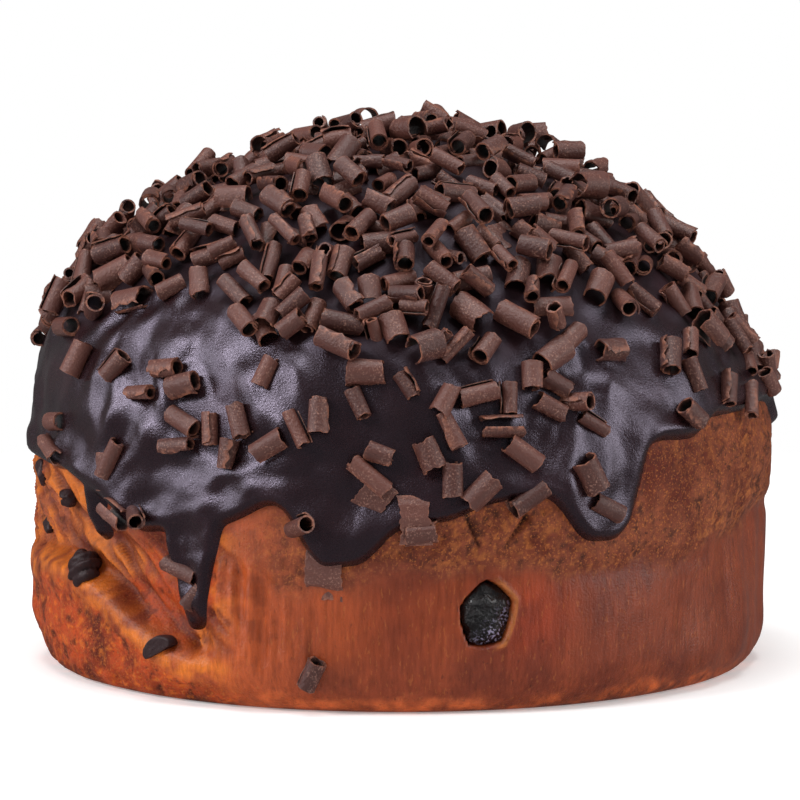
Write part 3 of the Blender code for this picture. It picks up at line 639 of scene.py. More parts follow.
def stretched_noise(group, given, detail, **settings):
    """Noise over the piece; below 1, Upright draws it out into upright streaks."""
    place = node(group, "TexCoord").outputs["Object"]
    scale = {"X": 1.0, "Y": 1.0, "Z": given.outputs["Upright"]}
    stretch = node(group, "CombineXYZ", scale).outputs[0]
    scaled = times_vector(group, place, stretch)
    sockets = {"Vector": scaled, "Scale": given.outputs["Per Metre"], "Detail": detail}
    return node(group, "TexNoise", {**sockets, **settings}).outputs[0]


def times_vector(group, value, other):
    return node(group, "VectorMath", {0: value, 1: other}, operation="MULTIPLY").outputs[0]


def make_flecks():
    sockets = {"Per Metre": 900.0, "Cover": 0.5, "Softness": 0.1, "Upright": 1.0}
    group, given, made = new_group("flecks", sockets, "Mask")
    low = times(group, 1.0, given.outputs["Cover"], "SUBTRACT")
    limits = {1: low, 2: times(group, low, given.outputs["Softness"], "ADD")}
    noise = stretched_noise(group, given, 3.0)
    mask = node(group, "MapRange", {0: noise, **limits}, interpolation_type="SMOOTHSTEP")
    group.links.new(mask.outputs[0], made.inputs["Mask"])
    return group


def make_grain():
    sockets = {"Per Metre": 700.0, "Upright": 1.0, "Roughness": 0.55}
    group, given, made = new_group("fine_grain", sockets, "Height")
    noise = stretched_noise(group, given, 5.0, Roughness=given.outputs["Roughness"])
    group.links.new(noise, made.inputs["Height"])
    return group


FLECKS, GRAIN = make_flecks(), make_grain()
print("node groups:", FLECKS.name, "and", GRAIN.name)


def flecks(tree, per_metre, cover, softness=0.1, upright=1.0):
    values = {"Per Metre": per_metre, "Cover": cover, "Softness": softness, "Upright": upright}
    group = node(tree, "Group", node_tree=FLECKS)
    for label, value in values.items():
        group.inputs[label].default_value = value
    return group.outputs["Mask"]


def fine_grain(tree, per_metre, upright=1.0):
    group = node(tree, "Group", node_tree=GRAIN)
    group.inputs["Per Metre"].default_value = per_metre
    group.inputs["Upright"].default_value = upright
    return group.outputs["Height"]


def new_material(name):
    made = bpy.data.materials.new(name)
    made.use_nodes = True
    return made, made.node_tree, made.node_tree.nodes["Principled BSDF"]


def raise_bump(tree, shader, height, distance, strength=1.0):
    made = node(tree, "Bump", {"Height": height, "Distance": distance, "Strength": strength})
    tree.links.new(made.outputs[0], shader.inputs["Normal"])


# %% [markdown]
# Baked crust is satin where the paper pressed it and dull where it tore. The stored colours carry
# the broad pattern. The material multiplies in fine upright fibres, adds pale flecks on the rough
# kinds and dark pores, and lets the fibres show as a very shallow bump. The rough kinds mirror
# less too: a strong sheen would lay a grey veil over their orange.

# %% Crust material
def crust_material():
    made, tree, shader = new_material("baked_crust")
    base = stored(tree, "crust_colour").outputs["Color"]
    rough = stored(tree, "roughness_share").outputs["Fac"]
    tree.links.new(ramp(tree, rough, (0.38, 0.2)), shader.inputs["Specular IOR Level"])
    upright, even = fine_grain(tree, 1100.0, 0.14), fine_grain(tree, 800.0)
    fibre = node(tree, "Mix", {0: rough, 2: upright, 3: even}).outputs[0]
    shade = ramp(tree, fibre, (0.78, 1.22), (0.3, 0.7))
    shaded = node(tree, "VectorMath", {0: base, 3: shade}, operation="SCALE").outputs[0]
    pale = times(tree, flecks(tree, 1900.0, 0.45, 0.12), rough)
    spotted = blend(tree, times(tree, pale, 0.6), shaded, rgba(OCHRE))
    crumbs = times(tree, flecks(tree, 1500.0, 0.39, 0.08, 0.3), 0.3)
    spotted = blend(tree, crumbs, spotted, rgba(OCHRE))
    scorched = times(tree, flecks(tree, 1300.0, 0.34, 0.08, 0.35), 0.4)
    spotted = blend(tree, scorched, spotted, rgba(SCORCH_AND_SHADE))
    pores = times(tree, flecks(tree, 1500.0, 0.36, 0.06), times(tree, rough, 0.7))
    tree.links.new(blend(tree, pores, spotted, rgba(SCORCH_AND_SHADE)), shader.inputs["Base Color"])
    dull = times(tree, ramp(tree, rough, (0.26, 0.52)), times(tree, fibre, 0.2), "ADD")
    tree.links.new(dull, shader.inputs["Roughness"])
    raise_bump(tree, shader, times(tree, fibre, fine_grain(tree, 1800.0), "ADD"), 0.00035, 0.6)
    return made


# %% [markdown]
# The loaf is one skin over its whole outline, closed by the flat base. It replaces the plain loaf
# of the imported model.

# %% Make the loaf
# In mm: the crust is given fine rows up to this height, and this far apart
CRUST_SHOWN, CRUST_PITCH = 68, 0.6
HIDDEN_ROWS = 26
BASE_RINGS = (0.1, 0.55, 0.9)


def loaf_rows():
    shown = np.arange(0, CRUST_SHOWN, CRUST_PITCH) * MM
    hidden = np.linspace(float(arc_at_height(CRUST_SHOWN * MM)), ARC_TOP, HIDDEN_ROWS)[1:-1]
    return np.concatenate([arc_at_height(shown), hidden])


def make_loaf():
    around, arcs = columns(COLUMNS), loaf_rows()
    theta, arc = np.meshgrid(around, arcs)
    kinds = kinds_of_crust(theta, arc)
    covered = arc - edge_arc(round_to_front(theta))
    for run in RUNS:
        covered = np.maximum(covered, distance_in_run(theta, height_at(arc), run))
    bare = 1 - smooth(covered, -2.6 * MM, 0)
    points = loaf_point(theta, arc, fine_relief(theta, arc, kinds) * bare)
    colours = crust_colour(theta, arc, kinds)
    rings = [points[0] * (share, share, 1) for share in BASE_RINGS]
    top, count = loaf_point(np.zeros(1), np.array([ARC_TOP])), COLUMNS
    stacked = np.concatenate([*rings, points.reshape(-1, 3), top, [[0, 0, 0]]])
    beneath = len(BASE_RINGS) * count
    under = np.repeat(mixed(FOOT, WALL_DEEP, np.array([0.4]))[None, 0], beneath, axis=0)
    painted = np.concatenate([under, colours.reshape(-1, 3), [WALL, WALL]])
    rows = len(arcs) + len(BASE_RINGS)
    last = rows * count
    faces = [skin_faces(rows, count), fan_faces(np.arange(count) + (rows - 1) * count, last)]
    faces.append(fan_faces(np.arange(count)[::-1], last + 1))
    made = new_piece("crust", stacked, faces, crust_material(), ["loaf"])
    rough = kinds["mottled"] + kinds["scorched"] + 0.5 * kinds["foot"] + 0.6 * kinds["drawn"]
    rough = np.clip(rough, 0, 1).ravel()
    store(made, "crust_colour", painted)
    store(made, "roughness_share", np.concatenate([np.full(beneath, 0.5), rough, [0, 0]]))


make_loaf()

# %% [markdown]
# Poured chocolate stands about two millimetres above the crust, thicker in a bead just inside
# its edge, and rounds off to nothing there. It is drawn as a second skin over the same outline.
# How far each point lies from the edge gives its height: inside it rises in a quarter circle,
# and outside it dives under the crust, so that the crust itself cuts a clean edge. The narrow runs
# are strips joined to the same skin, with a soft fillet where they meet it.

# %% How far the glaze reaches
GLAZE_GAP = 0.5 * MM
GLAZE_THICKNESS = 1.9 * MM
GLAZE_WAVE, GLAZE_WAVE_SPACING = 0.45 * MM, 30 * MM
GLAZE_BEAD, GLAZE_EDGE_ROUND = 0.9 * MM, 2.4 * MM
GLAZE_LEAST = 1.2 * MM
RUN_FILLET = 0.8 * MM


def glaze_height(theta, arc):
    """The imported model's glaze, which the curls were laid on."""
    azimuth = round_to_front(theta)
    inside = np.maximum(arc - edge_arc(azimuth), 0)
    wave = GLAZE_WAVE * lumps(outline_point(theta, arc), GLAZE_WAVE_SPACING, seed=8)
    thick = GLAZE_THICKNESS + wave + GLAZE_BEAD * bump(inside, 4 * MM, 4 * MM)
    toe = 1 - np.minimum(inside / GLAZE_EDGE_ROUND, 1)
    return thick * np.sqrt(np.maximum(1 - toe**2, 0))


def distance_to_edge(around, arcs):
    """For each row and column, how far a point lies inside the glaze's edge; below 0 outside it."""
    line = np.radians(np.arange(-240, 240, 0.08))
    ripple = 0.35 * MM * lumps(outline_point(line, np.full(len(line), 0.05)), 14 * MM, 17)
    line_arc = edge_arc(round_to_front(line)) + ripple
    made = np.empty((len(arcs), len(around)))
    for n, theta in enumerate(np.radians(round_to_front(around))):
        middle = int(np.searchsorted(line, theta))
        near = slice(middle - 120, middle + 121)
        across, up = (line[near] - theta) * WALL_RADIUS, line_arc[near] - arcs[:, None]
        inside = np.sign(arcs - np.interp(theta, line, line_arc))
        made[:, n] = inside * np.hypot(across, up).min(axis=1)
    return made


def soft_union(first, second, fillet):
    """The greater of two distances, rounded over where they are alike."""
    return np.logaddexp(first / fillet, second / fillet) * fillet


middle_glaze = glaze_height(np.zeros(1), np.array([ARC_TOP / 2]))[0]
print("half way up, the glaze is", round(middle_glaze / MM, 1), "mm thick in front")

# %% [markdown]
# Under the pile of curls the glaze is dull with crumbs, and its reflection is turned down there as
# painted shade from the curls, so it needs to know how thickly they lie there. The curls themselves
# are strewn by the same rule.

# %% Where the curls lie thickly
def pile_foot(azimuth):
    """Height down to which the curls lie thickly."""
    return MM * (
        84
        + 11 * hill(azimuth, -40, 17)
        - 6 * hill(azimuth, 2, 14)
        + 5 * hill(azimuth, 38, 13)
        - 16 * hill(azimuth, 80, 15)
        - 7 * hill(azimuth, 150, 20)
        + 6 * hill(azimuth, -150, 20)
    )


def pile_share(azimuth, z):
    """How thickly the curls lie, from 0 to 1, with a thin patch at the upper right."""
    thick = smooth(z, pile_foot(azimuth) - 3 * MM, pile_foot(azimuth) + 5 * MM)
    return thick * (1 - 0.85 * hill(azimuth, 46, 13) * bump(z, 91 * MM, 10 * MM))


foot = pile_foot(np.arange(-180, 180)) / MM
print("the pile ends", round(foot.min()), "to", round(foot.max()), "mm above the base")

# %% [markdown]
# As it cooled, the chocolate slid over crumbs and sagged into soft swirls. Low waves give the
# swell, folded noise gives the drawn ridges, and a few beads stand where drops set.

# %% Make the glaze
def glaze_lift(theta, arc, inside):
    azimuth, z = round_to_front(theta), height_at(arc)
    point = outline_point(theta, arc)
    thick = GLAZE_THICKNESS + GLAZE_WAVE * lumps(point, GLAZE_WAVE_SPACING, seed=8)
    thick = thick + GLAZE_BEAD * bump(inside, 4 * MM, 4 * MM)
    below = smooth(edge_arc(azimuth) - arc, 0, 5 * MM)
    thick = thick * (1 - 0.35 * below) + GLAZE_GAP
    drift = np.stack([grain(point, 22 * MM, seed, 1) for seed in (61, 62, 63)], axis=-1)
    bent = point + 4 * MM * drift
    fold = 1 - 2 * np.sqrt(grain(bent * (1, 1, 0.6), 15 * MM, 64, 2) ** 2 + 0.015)
    swirl = 0.7 + 0.6 * hill(azimuth, -35, 26) * bump(z, 60 * MM, 22 * MM)
    flow = 0.85 * MM * swirl * fold + 0.2 * MM * lumps(bent, 9 * MM, 66)
    flow = flow + 0.12 * MM * grain(bent, 4 * MM, 67, 2)
    settled = smooth(inside, 1.5 * MM, 6 * MM)
    rounding = np.sin(np.clip(inside / GLAZE_EDGE_ROUND, -1, 1) * math.pi / 2)
    return np.maximum(thick + flow * settled, GLAZE_LEAST) * rounding


def glaze_material():
    made, tree, shader = new_material("poured_chocolate")
    bloom = flecks(tree, 60.0, 0.5, 0.3)
    base = blend(tree, bloom, rgba(colour(29, 12, 13)), rgba(colour(42, 20, 23)))
    dust = times(tree, flecks(tree, 2600.0, 0.3, 0.05), 0.4)
    tree.links.new(blend(tree, dust, base, rgba(colour(96, 66, 60))), shader.inputs["Base Color"])
    under = stored(tree, "under_pile").outputs["Fac"]
    worn = ramp(tree, fine_grain(tree, 90.0), (0.06, 0.18), (0.3, 0.7))
    worn = times(tree, worn, times(tree, under, 0.2), "ADD")
    sparkle = ramp(tree, fine_grain(tree, 3200.0), (0.08, 0.24), (0.35, 0.65))
    tree.links.new(times(tree, worn, sparkle, "ADD"), shader.inputs["Roughness"])
    # painted shade: the glaze's reflection is turned down where the pile of curls lies over it
    tree.links.new(ramp(tree, under, (0.85, 0.3)), shader.inputs["Specular IOR Level"])
    shader.inputs["Specular Tint"].default_value = rgba(colour(240, 228, 255))
    raise_bump(tree, shader, fine_grain(tree, 2400.0), 0.0002, 0.5)
    return made


GLAZE_LOWEST, GLAZE_FINE_TO = 14 * MM, 80 * MM
GLAZE_PITCH, GLAZE_PITCH_ABOVE = 0.62 * MM, 1.5 * MM
GLAZE_TUCKED = 1.2 * MM


def glaze_rows():
    """Fine rows where the glaze shows, and wide ones under the pile."""
    low, high = float(arc_at_height(GLAZE_LOWEST)), float(arc_at_height(GLAZE_FINE_TO))
    above = np.arange(high, ARC_TOP - 2 * MM, GLAZE_PITCH_ABOVE)
    return np.concatenate([np.arange(low, high, GLAZE_PITCH), above])


def make_glaze():
    around, arcs = columns(COLUMNS), glaze_rows()
    theta, arc = np.meshgrid(around, arcs)
    inside = distance_to_edge(around, arcs)
    for run in RUNS:
        inside = soft_union(inside, distance_in_run(theta, height_at(arc), run), RUN_FILLET)
    points = loaf_point(theta, arc, glaze_lift(theta, arc, inside)).reshape(-1, 3)
    peak = loaf_point(np.zeros(1), np.array([ARC_TOP]), GLAZE_GAP + GLAZE_THICKNESS)
    faces = skin_faces(len(arcs), COLUMNS)
    seen = inside.ravel() > -GLAZE_TUCKED
    faces = faces[seen[faces].any(axis=1)]
    cap = fan_faces(np.arange(COLUMNS) + (len(arcs) - 1) * COLUMNS, len(points))
    used = np.unique(np.concatenate([faces.ravel(), cap.ravel()]))
    points, fresh = np.concatenate([points, peak]), np.zeros(len(points) + 1, int)
    fresh[used] = np.arange(len(used))
    faces = [fresh[faces], fresh[cap]]
    made = new_piece("glaze_coat", points[used], faces, glaze_material(), ["glaze"])
    under = pile_share(round_to_front(theta), height_at(arc)).ravel()
    store(made, "under_pile", np.concatenate([under, [1.0]])[used])


make_glaze()

# %% [markdown]
# The curls have to look as if they fell. Each one in turn is tried at a few random places, is
# raised until it clears those already down, and stays at the lowest place. This simple rule packs
# them as a real handful lies, without a physics run. The lone curls low on the glaze come
# first, each where it was seen to lie, with the form that it has there. Last, small ones are
# wedged low between the others, because a real pile is too deep to show the glaze through it.

# %% Rules for curls at rest
CURL_LENGTH = 9 * MM
CURL_RADIUS = 2.3 * MM
CURL_SUNK = 0.25
PILE_TRIES, PLACES_EACH = 860, 7
PILE_RISE, PILE_TILT = 4.6 * MM, 0.2
REST_OVERLAP, REST_STEP = 0.3 * MM, 0.4 * MM
GAP_TRIES, GAP_SIZE = 900, 0.86
GAP_OVERLAP = 1.3 * MM
GAP_RISE, GAP_TILT = 3.2 * MM, 0.35
VIEW_POINT = np.array([0, -888, 147]) * MM
VIEW_AIM = np.array([0, 0, 65]) * MM
VIEW_STEPS = 3495
VIEW_MIDDLE = 400


def clearance(points, radius, others):
    """The least gap between a curl, given by points on its axis, and its neighbours."""
    centres, axes, halves, radii = others
    away = points[:, None, :] - centres[None]
    along = np.clip((away * axes).sum(-1), -halves, halves)
    nearest = np.linalg.norm(away - along[..., None] * axes, axis=-1)
    return float((nearest - radii).min() - radius)


class Curl(NamedTuple):
    centre: np.ndarray
    axis: np.ndarray
    normal: np.ndarray
    length: float
    radius: float
    lift: float
    kind: str = "roll"


class Pile:
    """Curls that have come to rest, kept as arrays so that a new one can be tested against them."""

    def __init__(self):
        self.curls = []
        self.centres = np.empty((0, 3))
        self.shapes = np.empty((0, 5))

    def rest_height(self, place, normal, axis, half, radius, overlap=REST_OVERLAP):
        """How far a curl has to rise along its normal to clear those already down."""
        reach = CURL_LENGTH * 1.9
        near = np.linalg.norm(self.centres - place, axis=1) < reach if len(self.centres) else []
        if not np.any(near):
            return 0.0
        shapes = self.shapes[near]
        axes, halves, radii = shapes[:, :3], shapes[:, 3], shapes[:, 4]
        others = (self.centres[near], axes, halves - 0.4 * radii, radii)
        spread = np.linspace(-0.85, 0.85, 5)[:, None] * half * axis
        for lift in np.arange(0, PILE_RISE + REST_STEP, REST_STEP):
            if clearance(place + normal * lift + spread, radius, others) > -overlap:
                return lift
        return 2 * PILE_RISE

    def add(self, curl):
        self.curls.append(curl)
        self.centres = np.vstack([self.centres, curl.centre])
        self.shapes = np.vstack([self.shapes, [*curl.axis, curl.length / 2, curl.radius]])


print("a curl is about", round(CURL_LENGTH / MM), "mm long and", round(2 * CURL_RADIUS / MM, 1),
      "mm across")

# %% [markdown]
# The lone curls are judged from the front. A place in that view is a line of sight, and
# the curl lies where the line first meets the loaf. Its turn is judged in the same view, and is
# laid into the slope of the loaf there, so that the curl doesn't stand off the glaze.

# %% Places on the glaze
def tangent_frame(theta, arc):
    """Unit vectors level and up the slope on the surface, and out of it."""
    normal = outline_normal(theta, arc)
    level = np.array([math.cos(theta), math.sin(theta), 0.0])
    return level, np.cross(normal, level), normal


def lying(level, upslope, normal, spin, tilt=0.0):
    """The axis of a curl that is turned from level by spin and tilted out of the slope by tilt."""
    flat = level * math.cos(spin) + upslope * math.sin(spin)
    return flat * math.cos(tilt) + normal * math.sin(tilt)


def met_by_sight(across, down, lift):
    """Azimuth, arc length and point where a line of sight of the front view meets the loaf."""
    ahead = (VIEW_AIM - VIEW_POINT) / np.linalg.norm(VIEW_AIM - VIEW_POINT)
    right = np.array([1.0, 0.0, 0.0])
    slope = (across - VIEW_MIDDLE) * right + (VIEW_MIDDLE - down) * np.cross(right, ahead)
    points = VIEW_POINT + np.linspace(0.76, 0.92, 1601)[:, None] * (ahead + slope / VIEW_STEPS)
    radius, height = ARC_RADIUS + lift * ARC_OUT, ARC_HEIGHT + lift * ARC_UP
    inside = np.hypot(points[:, 0], points[:, 1]) < np.interp(points[:, 2], height, radius)
    point = points[np.argmax(inside)]
    return math.atan2(point[0], -point[1]), float(np.interp(point[2], height, ARC)), point


def seen_place(across, down, turn, lift):
    """The azimuth, arc length, axis and normal of a curl, as the front view shows them."""
    theta, arc, middle = met_by_sight(across, down, lift)
    level, upslope, normal = tangent_frame(theta, arc)
    swing = math.radians(turn)
    end = met_by_sight(across + 4 * math.cos(swing), down - 4 * math.sin(swing), lift)[2] - middle
    axis = level * (end @ level) + upslope * (end @ upslope)
    return theta, arc, axis / np.linalg.norm(axis), normal


def seat(theta, arc, radius, sunk=CURL_SUNK):
    """Where the middle of a curl lies when it rests a little sunk in the soft glaze."""
    glazed = glaze_height(np.array([theta]), np.array([arc]))[0]
    return loaf_point(np.array([theta]), np.array([arc]), glazed + radius * (1 - sunk))[0]


# %% [markdown]
# Low on the glaze the curls lie singly, where each one is noticed, so they are placed one by one.
# Chance would put some of them on the lobes' edges or in a row, which the eye finds at once.

# %% Lone curls
# Steps across the front view and down it, turn from level in degrees, and form
LONE_CURLS = [
    (71, 329, 0, "roll"),
    (81, 360, 65, "roll"),
    (117, 367, 50, "roll"),
    (163, 367, 3, "roll"),
    (178, 382, 14, "roll"),
    (138, 392, 3, "roll"),
    (176, 419, -35, "roll"),
    (203, 427, 90, "roll"),
    (236, 420, -77, "roll"),
    (168, 444, 5, "roll"),
    (223, 453, 80, "roll"),
    (268, 445, 31, "open"),
    (265, 372, 64, "roll"),
    (263, 327, -68, "open"),
    (90, 472, 90, "flake"),
    (104, 458, 66, "roll"),
    (50, 420, 0, "roll"),
    (46, 449, -56, "crumpled"),
    (109, 514, -40, "crumpled"),
    (130, 517, -39, "on end"),
    (166, 572, -28, "roll"),
    (180, 600, 50, "crumpled"),
    (366, 372, 0, "open"),
    (358, 402, -66, "roll"),
    (318, 415, 90, "roll"),
    (296, 428, -65, "roll"),
    (407, 385, -58, "roll"),
    (445, 399, 63, "roll"),
    (480, 392, 13, "roll"),
    (452, 429, -63, "roll"),
    (513, 395, 90, "roll"),
    (505, 425, 0, "crumpled"),
    (380, 453, -20, "roll"),
    (369, 476, -40, "roll"),
    (372, 500, -37, "flake"),
    (430, 454, -67, "open"),
    (453, 480, 90, "roll"),
    (482, 492, 45, "open"),
    (415, 520, 0, "flake"),
    (421, 534, 6, "crumpled"),
    (300, 526, 27, "on end"),
    (321, 574, -5, "flake"),
    (576, 332, 45, "roll"),
    (558, 351, 37, "open"),
    (535, 372, 90, "roll"),
    (562, 380, -32, "crumpled"),
    (617, 345, 0, "crumpled"),
    (672, 355, 90, "roll"),
    (692, 342, 90, "roll"),
    (694, 375, -68, "roll"),
    (723, 332, -51, "roll"),
    (728, 390, 90, "roll"),
    (750, 400, 90, "roll"),
    (582, 400, 0, "on end"),
    (556, 405, -27, "crumpled"),
    (599, 422, -31, "roll"),
    (688, 415, -46, "roll"),
    (526, 453, -36, "open"),
    (592, 475, -62, "open"),
    (532, 499, 36, "roll"),
    (610, 508, -28, "open"),
]

# Two more hang on at the left edge of that view: azimuth, height in mm and turn from level
CURLS_AT_LIMB = [(-88, 83, 20), (-93, 79, -15)]
print(len(LONE_CURLS) + len(CURLS_AT_LIMB), "curls are placed by eye")

# %% [markdown]
# The rest is strewn. A few fall behind the loaf too, where the pile ends less sharply. The same
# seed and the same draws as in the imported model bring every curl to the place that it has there.

# %% Strew the curls
def curl_shape(draw):
    """A length and a radius; the draw before them is for a slit that only the solids have."""
    draw.uniform(-25, 25)
    return CURL_LENGTH * draw.uniform(0.8, 1.18), CURL_RADIUS * draw.uniform(0.86, 1.2)


def draw_place(draw):
    """A random azimuth and arc length, as likely as the curls lie thick there."""
    while True:
        theta, arc = draw.uniform(-math.pi, math.pi), draw.uniform(arc_at_height(56 * MM), ARC_TOP)
        azimuth, z = math.degrees(theta), float(height_at(arc))
        behind = 0.05 * float(smooth(abs(azimuth), 98, 110))
        behind = behind * float(arc > edge_arc(azimuth) + 4 * MM)
        share = max(float(pile_share(azimuth, z)), behind)
        if draw.uniform() < share * float(np.interp(arc, ARC, ARC_RADIUS)) / WALL_RADIUS:
            return theta, arc


def strewn_curls():
    """The lone curls first, then a pile in which each curl takes the lowest of a few places."""
    draw = np.random.default_rng(21)
    pile = Pile()
    for across, down, turn, kind in LONE_CURLS:
        theta, arc, axis, normal = seen_place(across, down, turn, lift=4.5 * MM)
        length, radius = curl_shape(draw)
        pile.add(Curl(seat(theta, arc, radius), axis, normal, length, radius, 0.0, kind))
    for azimuth, z, turn in CURLS_AT_LIMB:
        theta, arc = math.radians(azimuth), float(arc_at_height(z * MM))
        level, upslope, normal = tangent_frame(theta, arc)
        axis = lying(level, upslope, normal, math.radians(turn))
        length, radius = curl_shape(draw)
        pile.add(Curl(seat(theta, arc, radius), axis, normal, length, radius, 0.0))
    for _ in range(PILE_TRIES):
        best = None
        length, radius = curl_shape(draw)
        for _ in range(PLACES_EACH):
            theta, arc = draw_place(draw)
            level, upslope, normal = tangent_frame(theta, arc)
            spin, tilt = draw.uniform(0, math.pi), draw.normal(0, PILE_TILT)
            axis = lying(level, upslope, normal, spin, tilt)
            place = seat(theta, arc, radius) + normal * abs(math.sin(tilt)) * length * 0.3
            lift = pile.rest_height(place, normal, axis, length / 2, radius)
            if best is None or lift < best.lift:
                best = Curl(place + normal * lift, axis, normal, length, radius, lift)
        if best.lift <= PILE_RISE * (0.3 + 0.7 * best.normal[2]):
            pile.add(best)
    fill_gaps(pile, draw)
    return pile.curls


def fill_gaps(pile, draw):
    """Small curls wedged low between the others, where bare glaze would show through."""
    for _ in range(GAP_TRIES):
        theta, arc = draw_place(draw)
        level, upslope, normal = tangent_frame(theta, arc)
        length, radius = curl_shape(draw)
        length, radius = GAP_SIZE * length, GAP_SIZE * radius
        spin, tilt = draw.uniform(0, math.pi), draw.normal(0, GAP_TILT)
        axis = lying(level, upslope, normal, spin, tilt)
        place = seat(theta, arc, radius)
        lift = pile.rest_height(place, normal, axis, length / 2, radius, GAP_OVERLAP)
        if lift <= GAP_RISE and pile_share(math.degrees(theta), float(height_at(arc))) > 0.4:
            pile.add(Curl(place + normal * lift, axis, normal, length, radius, lift))


curls = strewn_curls()
print(len(curls), "curls lie on the glaze")

# %% [markdown]
# A chocolate curl is a thin strip that a blade rolled up: about half a millimetre thick, wound
# a little more than once, with ragged ends and a rough free lip. Each is built as a grid of points
# across the strip and along it, doubled for its two faces, and no two are alike. Forms differ in
# how far they are wound and how much they are crushed.

# %% Shape one shaving
STRIP_THICKNESS = 0.42 * MM
ROUND, ALONG = 20, 5
FORMS = {
    "roll": {"turns": (1.1, 1.5), "wide": (0.84, 1.04), "crush": 0.03},
    "open": {"turns": (0.66, 0.92), "wide": (0.95, 1.2), "crush": 0.05},
    "crumpled": {"turns": (0.8, 1.2), "wide": (0.85, 1.05), "crush": 0.24},
    "flake": {"turns": (0.16, 0.3), "wide": (2.2, 3.2), "crush": 0.04},
    "on end": {"turns": (1.15, 1.4), "wide": (0.9, 1.05), "crush": 0.03},
}


def wobble(at, draw, waves=4):
    """A seeded random line of about unit height along at, which runs from 0 to 1."""
    total = 0.0
    for n in range(1, waves + 1):
        size, phase = draw.normal(), draw.uniform(0, 2 * math.pi)
        total = total + size * np.sin(at * 2 * math.pi * n + phase) / n**0.5
    return total / 1.4


def strip_grid():
    """Spacing across the strip and along it, close at the edges so that the rims stay sharp."""
    u = np.linspace(0, 1, ROUND + 1)
    u = np.sort(np.concatenate([u, [0.015, 0.985]]))
    v = np.concatenate([[-1, -0.93], np.linspace(-0.7, 0.7, ALONG - 1), [0.93, 1]])
    return np.meshgrid(u, v, indexing="ij")


def shaving(curl, draw):
    """Points of a strip's outer and inner face, with rim values for its material."""
    form = FORMS[curl.kind]
    turns, crush = draw.uniform(*form["turns"]), form["crush"]
    radius = curl.radius * draw.uniform(*form["wide"])
    u, v = strip_grid()
    lip = u + 0.02 * wobble(v / 2 + 0.5, draw) * smooth(u, 0.8, 1.0)
    angle = 2 * math.pi * turns * (lip - 0.5)
    wound = radius - 1.15 * STRIP_THICKNESS * turns * (1 - u) ** 0.8 * (turns > 1)
    wound = wound * (1 + draw.normal(0, 0.05) * v)
    wound = wound + radius * crush * wobble(u, draw) * (0.6 + 0.4 * wobble(v / 2, draw))
    wound = wound + radius * draw.uniform(0, 0.25) * smooth(u, 0.9, 1.0)
    torn = 0.1 + 0.3 * draw.uniform() ** 3 + (curl.kind == "crumpled") * 0.25
    ragged = smooth(np.abs(v), 0.6, 1.0) * np.sign(v) * wobble(u, draw, 7) * torn * MM
    ragged = ragged + (np.abs(v) > 0.99) * draw.normal(0, 0.05, u.shape) * MM
    x = v * curl.length * draw.uniform(0.42, 0.49) + ragged + draw.normal(0, 0.4) * MM * (u - 0.5)
    y, z = wound * np.sin(angle), wound * np.cos(angle)
    if curl.kind == "flake":
        z = z - radius
    dy, dz = np.gradient(y, axis=0), np.gradient(z, axis=0)
    size = np.hypot(dy, dz) + 1e-9
    thin = STRIP_THICKNESS * (0.55 + 0.45 * smooth(1 - np.abs(2 * u - 1), 0, 0.06)) / 2
    outer = np.stack([x, y - thin * dz / size, z + thin * dy / size], axis=-1)
    inner = np.stack([x, y + thin * dz / size, z - thin * dy / size], axis=-1)
    rim = 1 - smooth(np.minimum(1 - np.abs(2 * u - 1), (1 - np.abs(v)) * 2), 0.02, 0.16)
    return outer, inner, rim


print("a shaving has", 2 * strip_grid()[0].size, "points")

# %% [markdown]
# A shaving is made level at the origin and then turned into its place. Rolls may show their lip on
# any side. Open ones and flakes lie on their hollow side, as they do when they are dropped, and a
# few rolls stand nearly on end.

# %% Set a shaving in its place
def curl_frame(curl, spin):
    """Axes of a curl: along it, sideways, and up through the middle of its strip."""
    axis = curl.axis
    if curl.kind == "on end":
        axis = curl.axis * 0.75 + curl.normal * 0.45 + np.array([0, -0.55, 0])
        axis = axis / np.linalg.norm(axis)
    side = np.cross(axis, curl.normal)
    side = side / np.linalg.norm(side)
    up = np.cross(side, axis)
    turned = side * math.cos(spin) + up * math.sin(spin)
    return np.stack([axis, turned, up * math.cos(spin) - side * math.sin(spin)])


def placed(curl, draw):
    """One curl's points, and its values for the material."""
    outer, inner, rim = shaving(curl, draw)
    if curl.kind in ("flake", "open"):
        spin = draw.normal(0, 0.25 if curl.kind == "flake" else 0.6)
    else:
        spin = draw.uniform(0, 2 * math.pi)
    centre = curl.centre - curl.normal * curl.radius * (0.45 if curl.kind == "flake" else 0.1)
    points = np.concatenate([outer.reshape(-1, 3), inner.reshape(-1, 3)])
    points = points @ curl_frame(curl, spin) + centre
    # painted shade: how far the inner face is darkened, most in the middle of the roll
    deep = 1 - smooth(np.abs(strip_grid()[1]), 0.62, 1.0)
    inward = np.concatenate([np.zeros(rim.size), deep.ravel()])
    return points, np.tile(rim.ravel(), 2), inward


def strip_faces():
    """Faces of one strip: both sides and the narrow edges all round."""
    rows, cols = strip_grid()[0].shape
    index = np.arange(rows * cols).reshape(rows, cols)
    a, b, c, d = index[:-1, :-1], index[1:, :-1], index[1:, 1:], index[:-1, 1:]
    outer = np.stack([a, b, c, d], axis=-1).reshape(-1, 4)
    inner = outer[:, ::-1] + rows * cols
    ring = np.concatenate([index[0, :-1], index[:-1, -1], index[-1, :0:-1], index[:0:-1, 0]])
    following = np.roll(ring, -1)
    edge = np.stack([following, ring, ring + rows * cols, following + rows * cols], axis=-1)
    return np.concatenate([outer, inner, edge])


# %% [markdown]
# The curls are dull: a brown like milk chocolate with a fine pale powder, ragged rims where the
# thin edge lets light through and looks tan, and painted shade inside the roll: its inner face
# turns nearly black towards the middle.

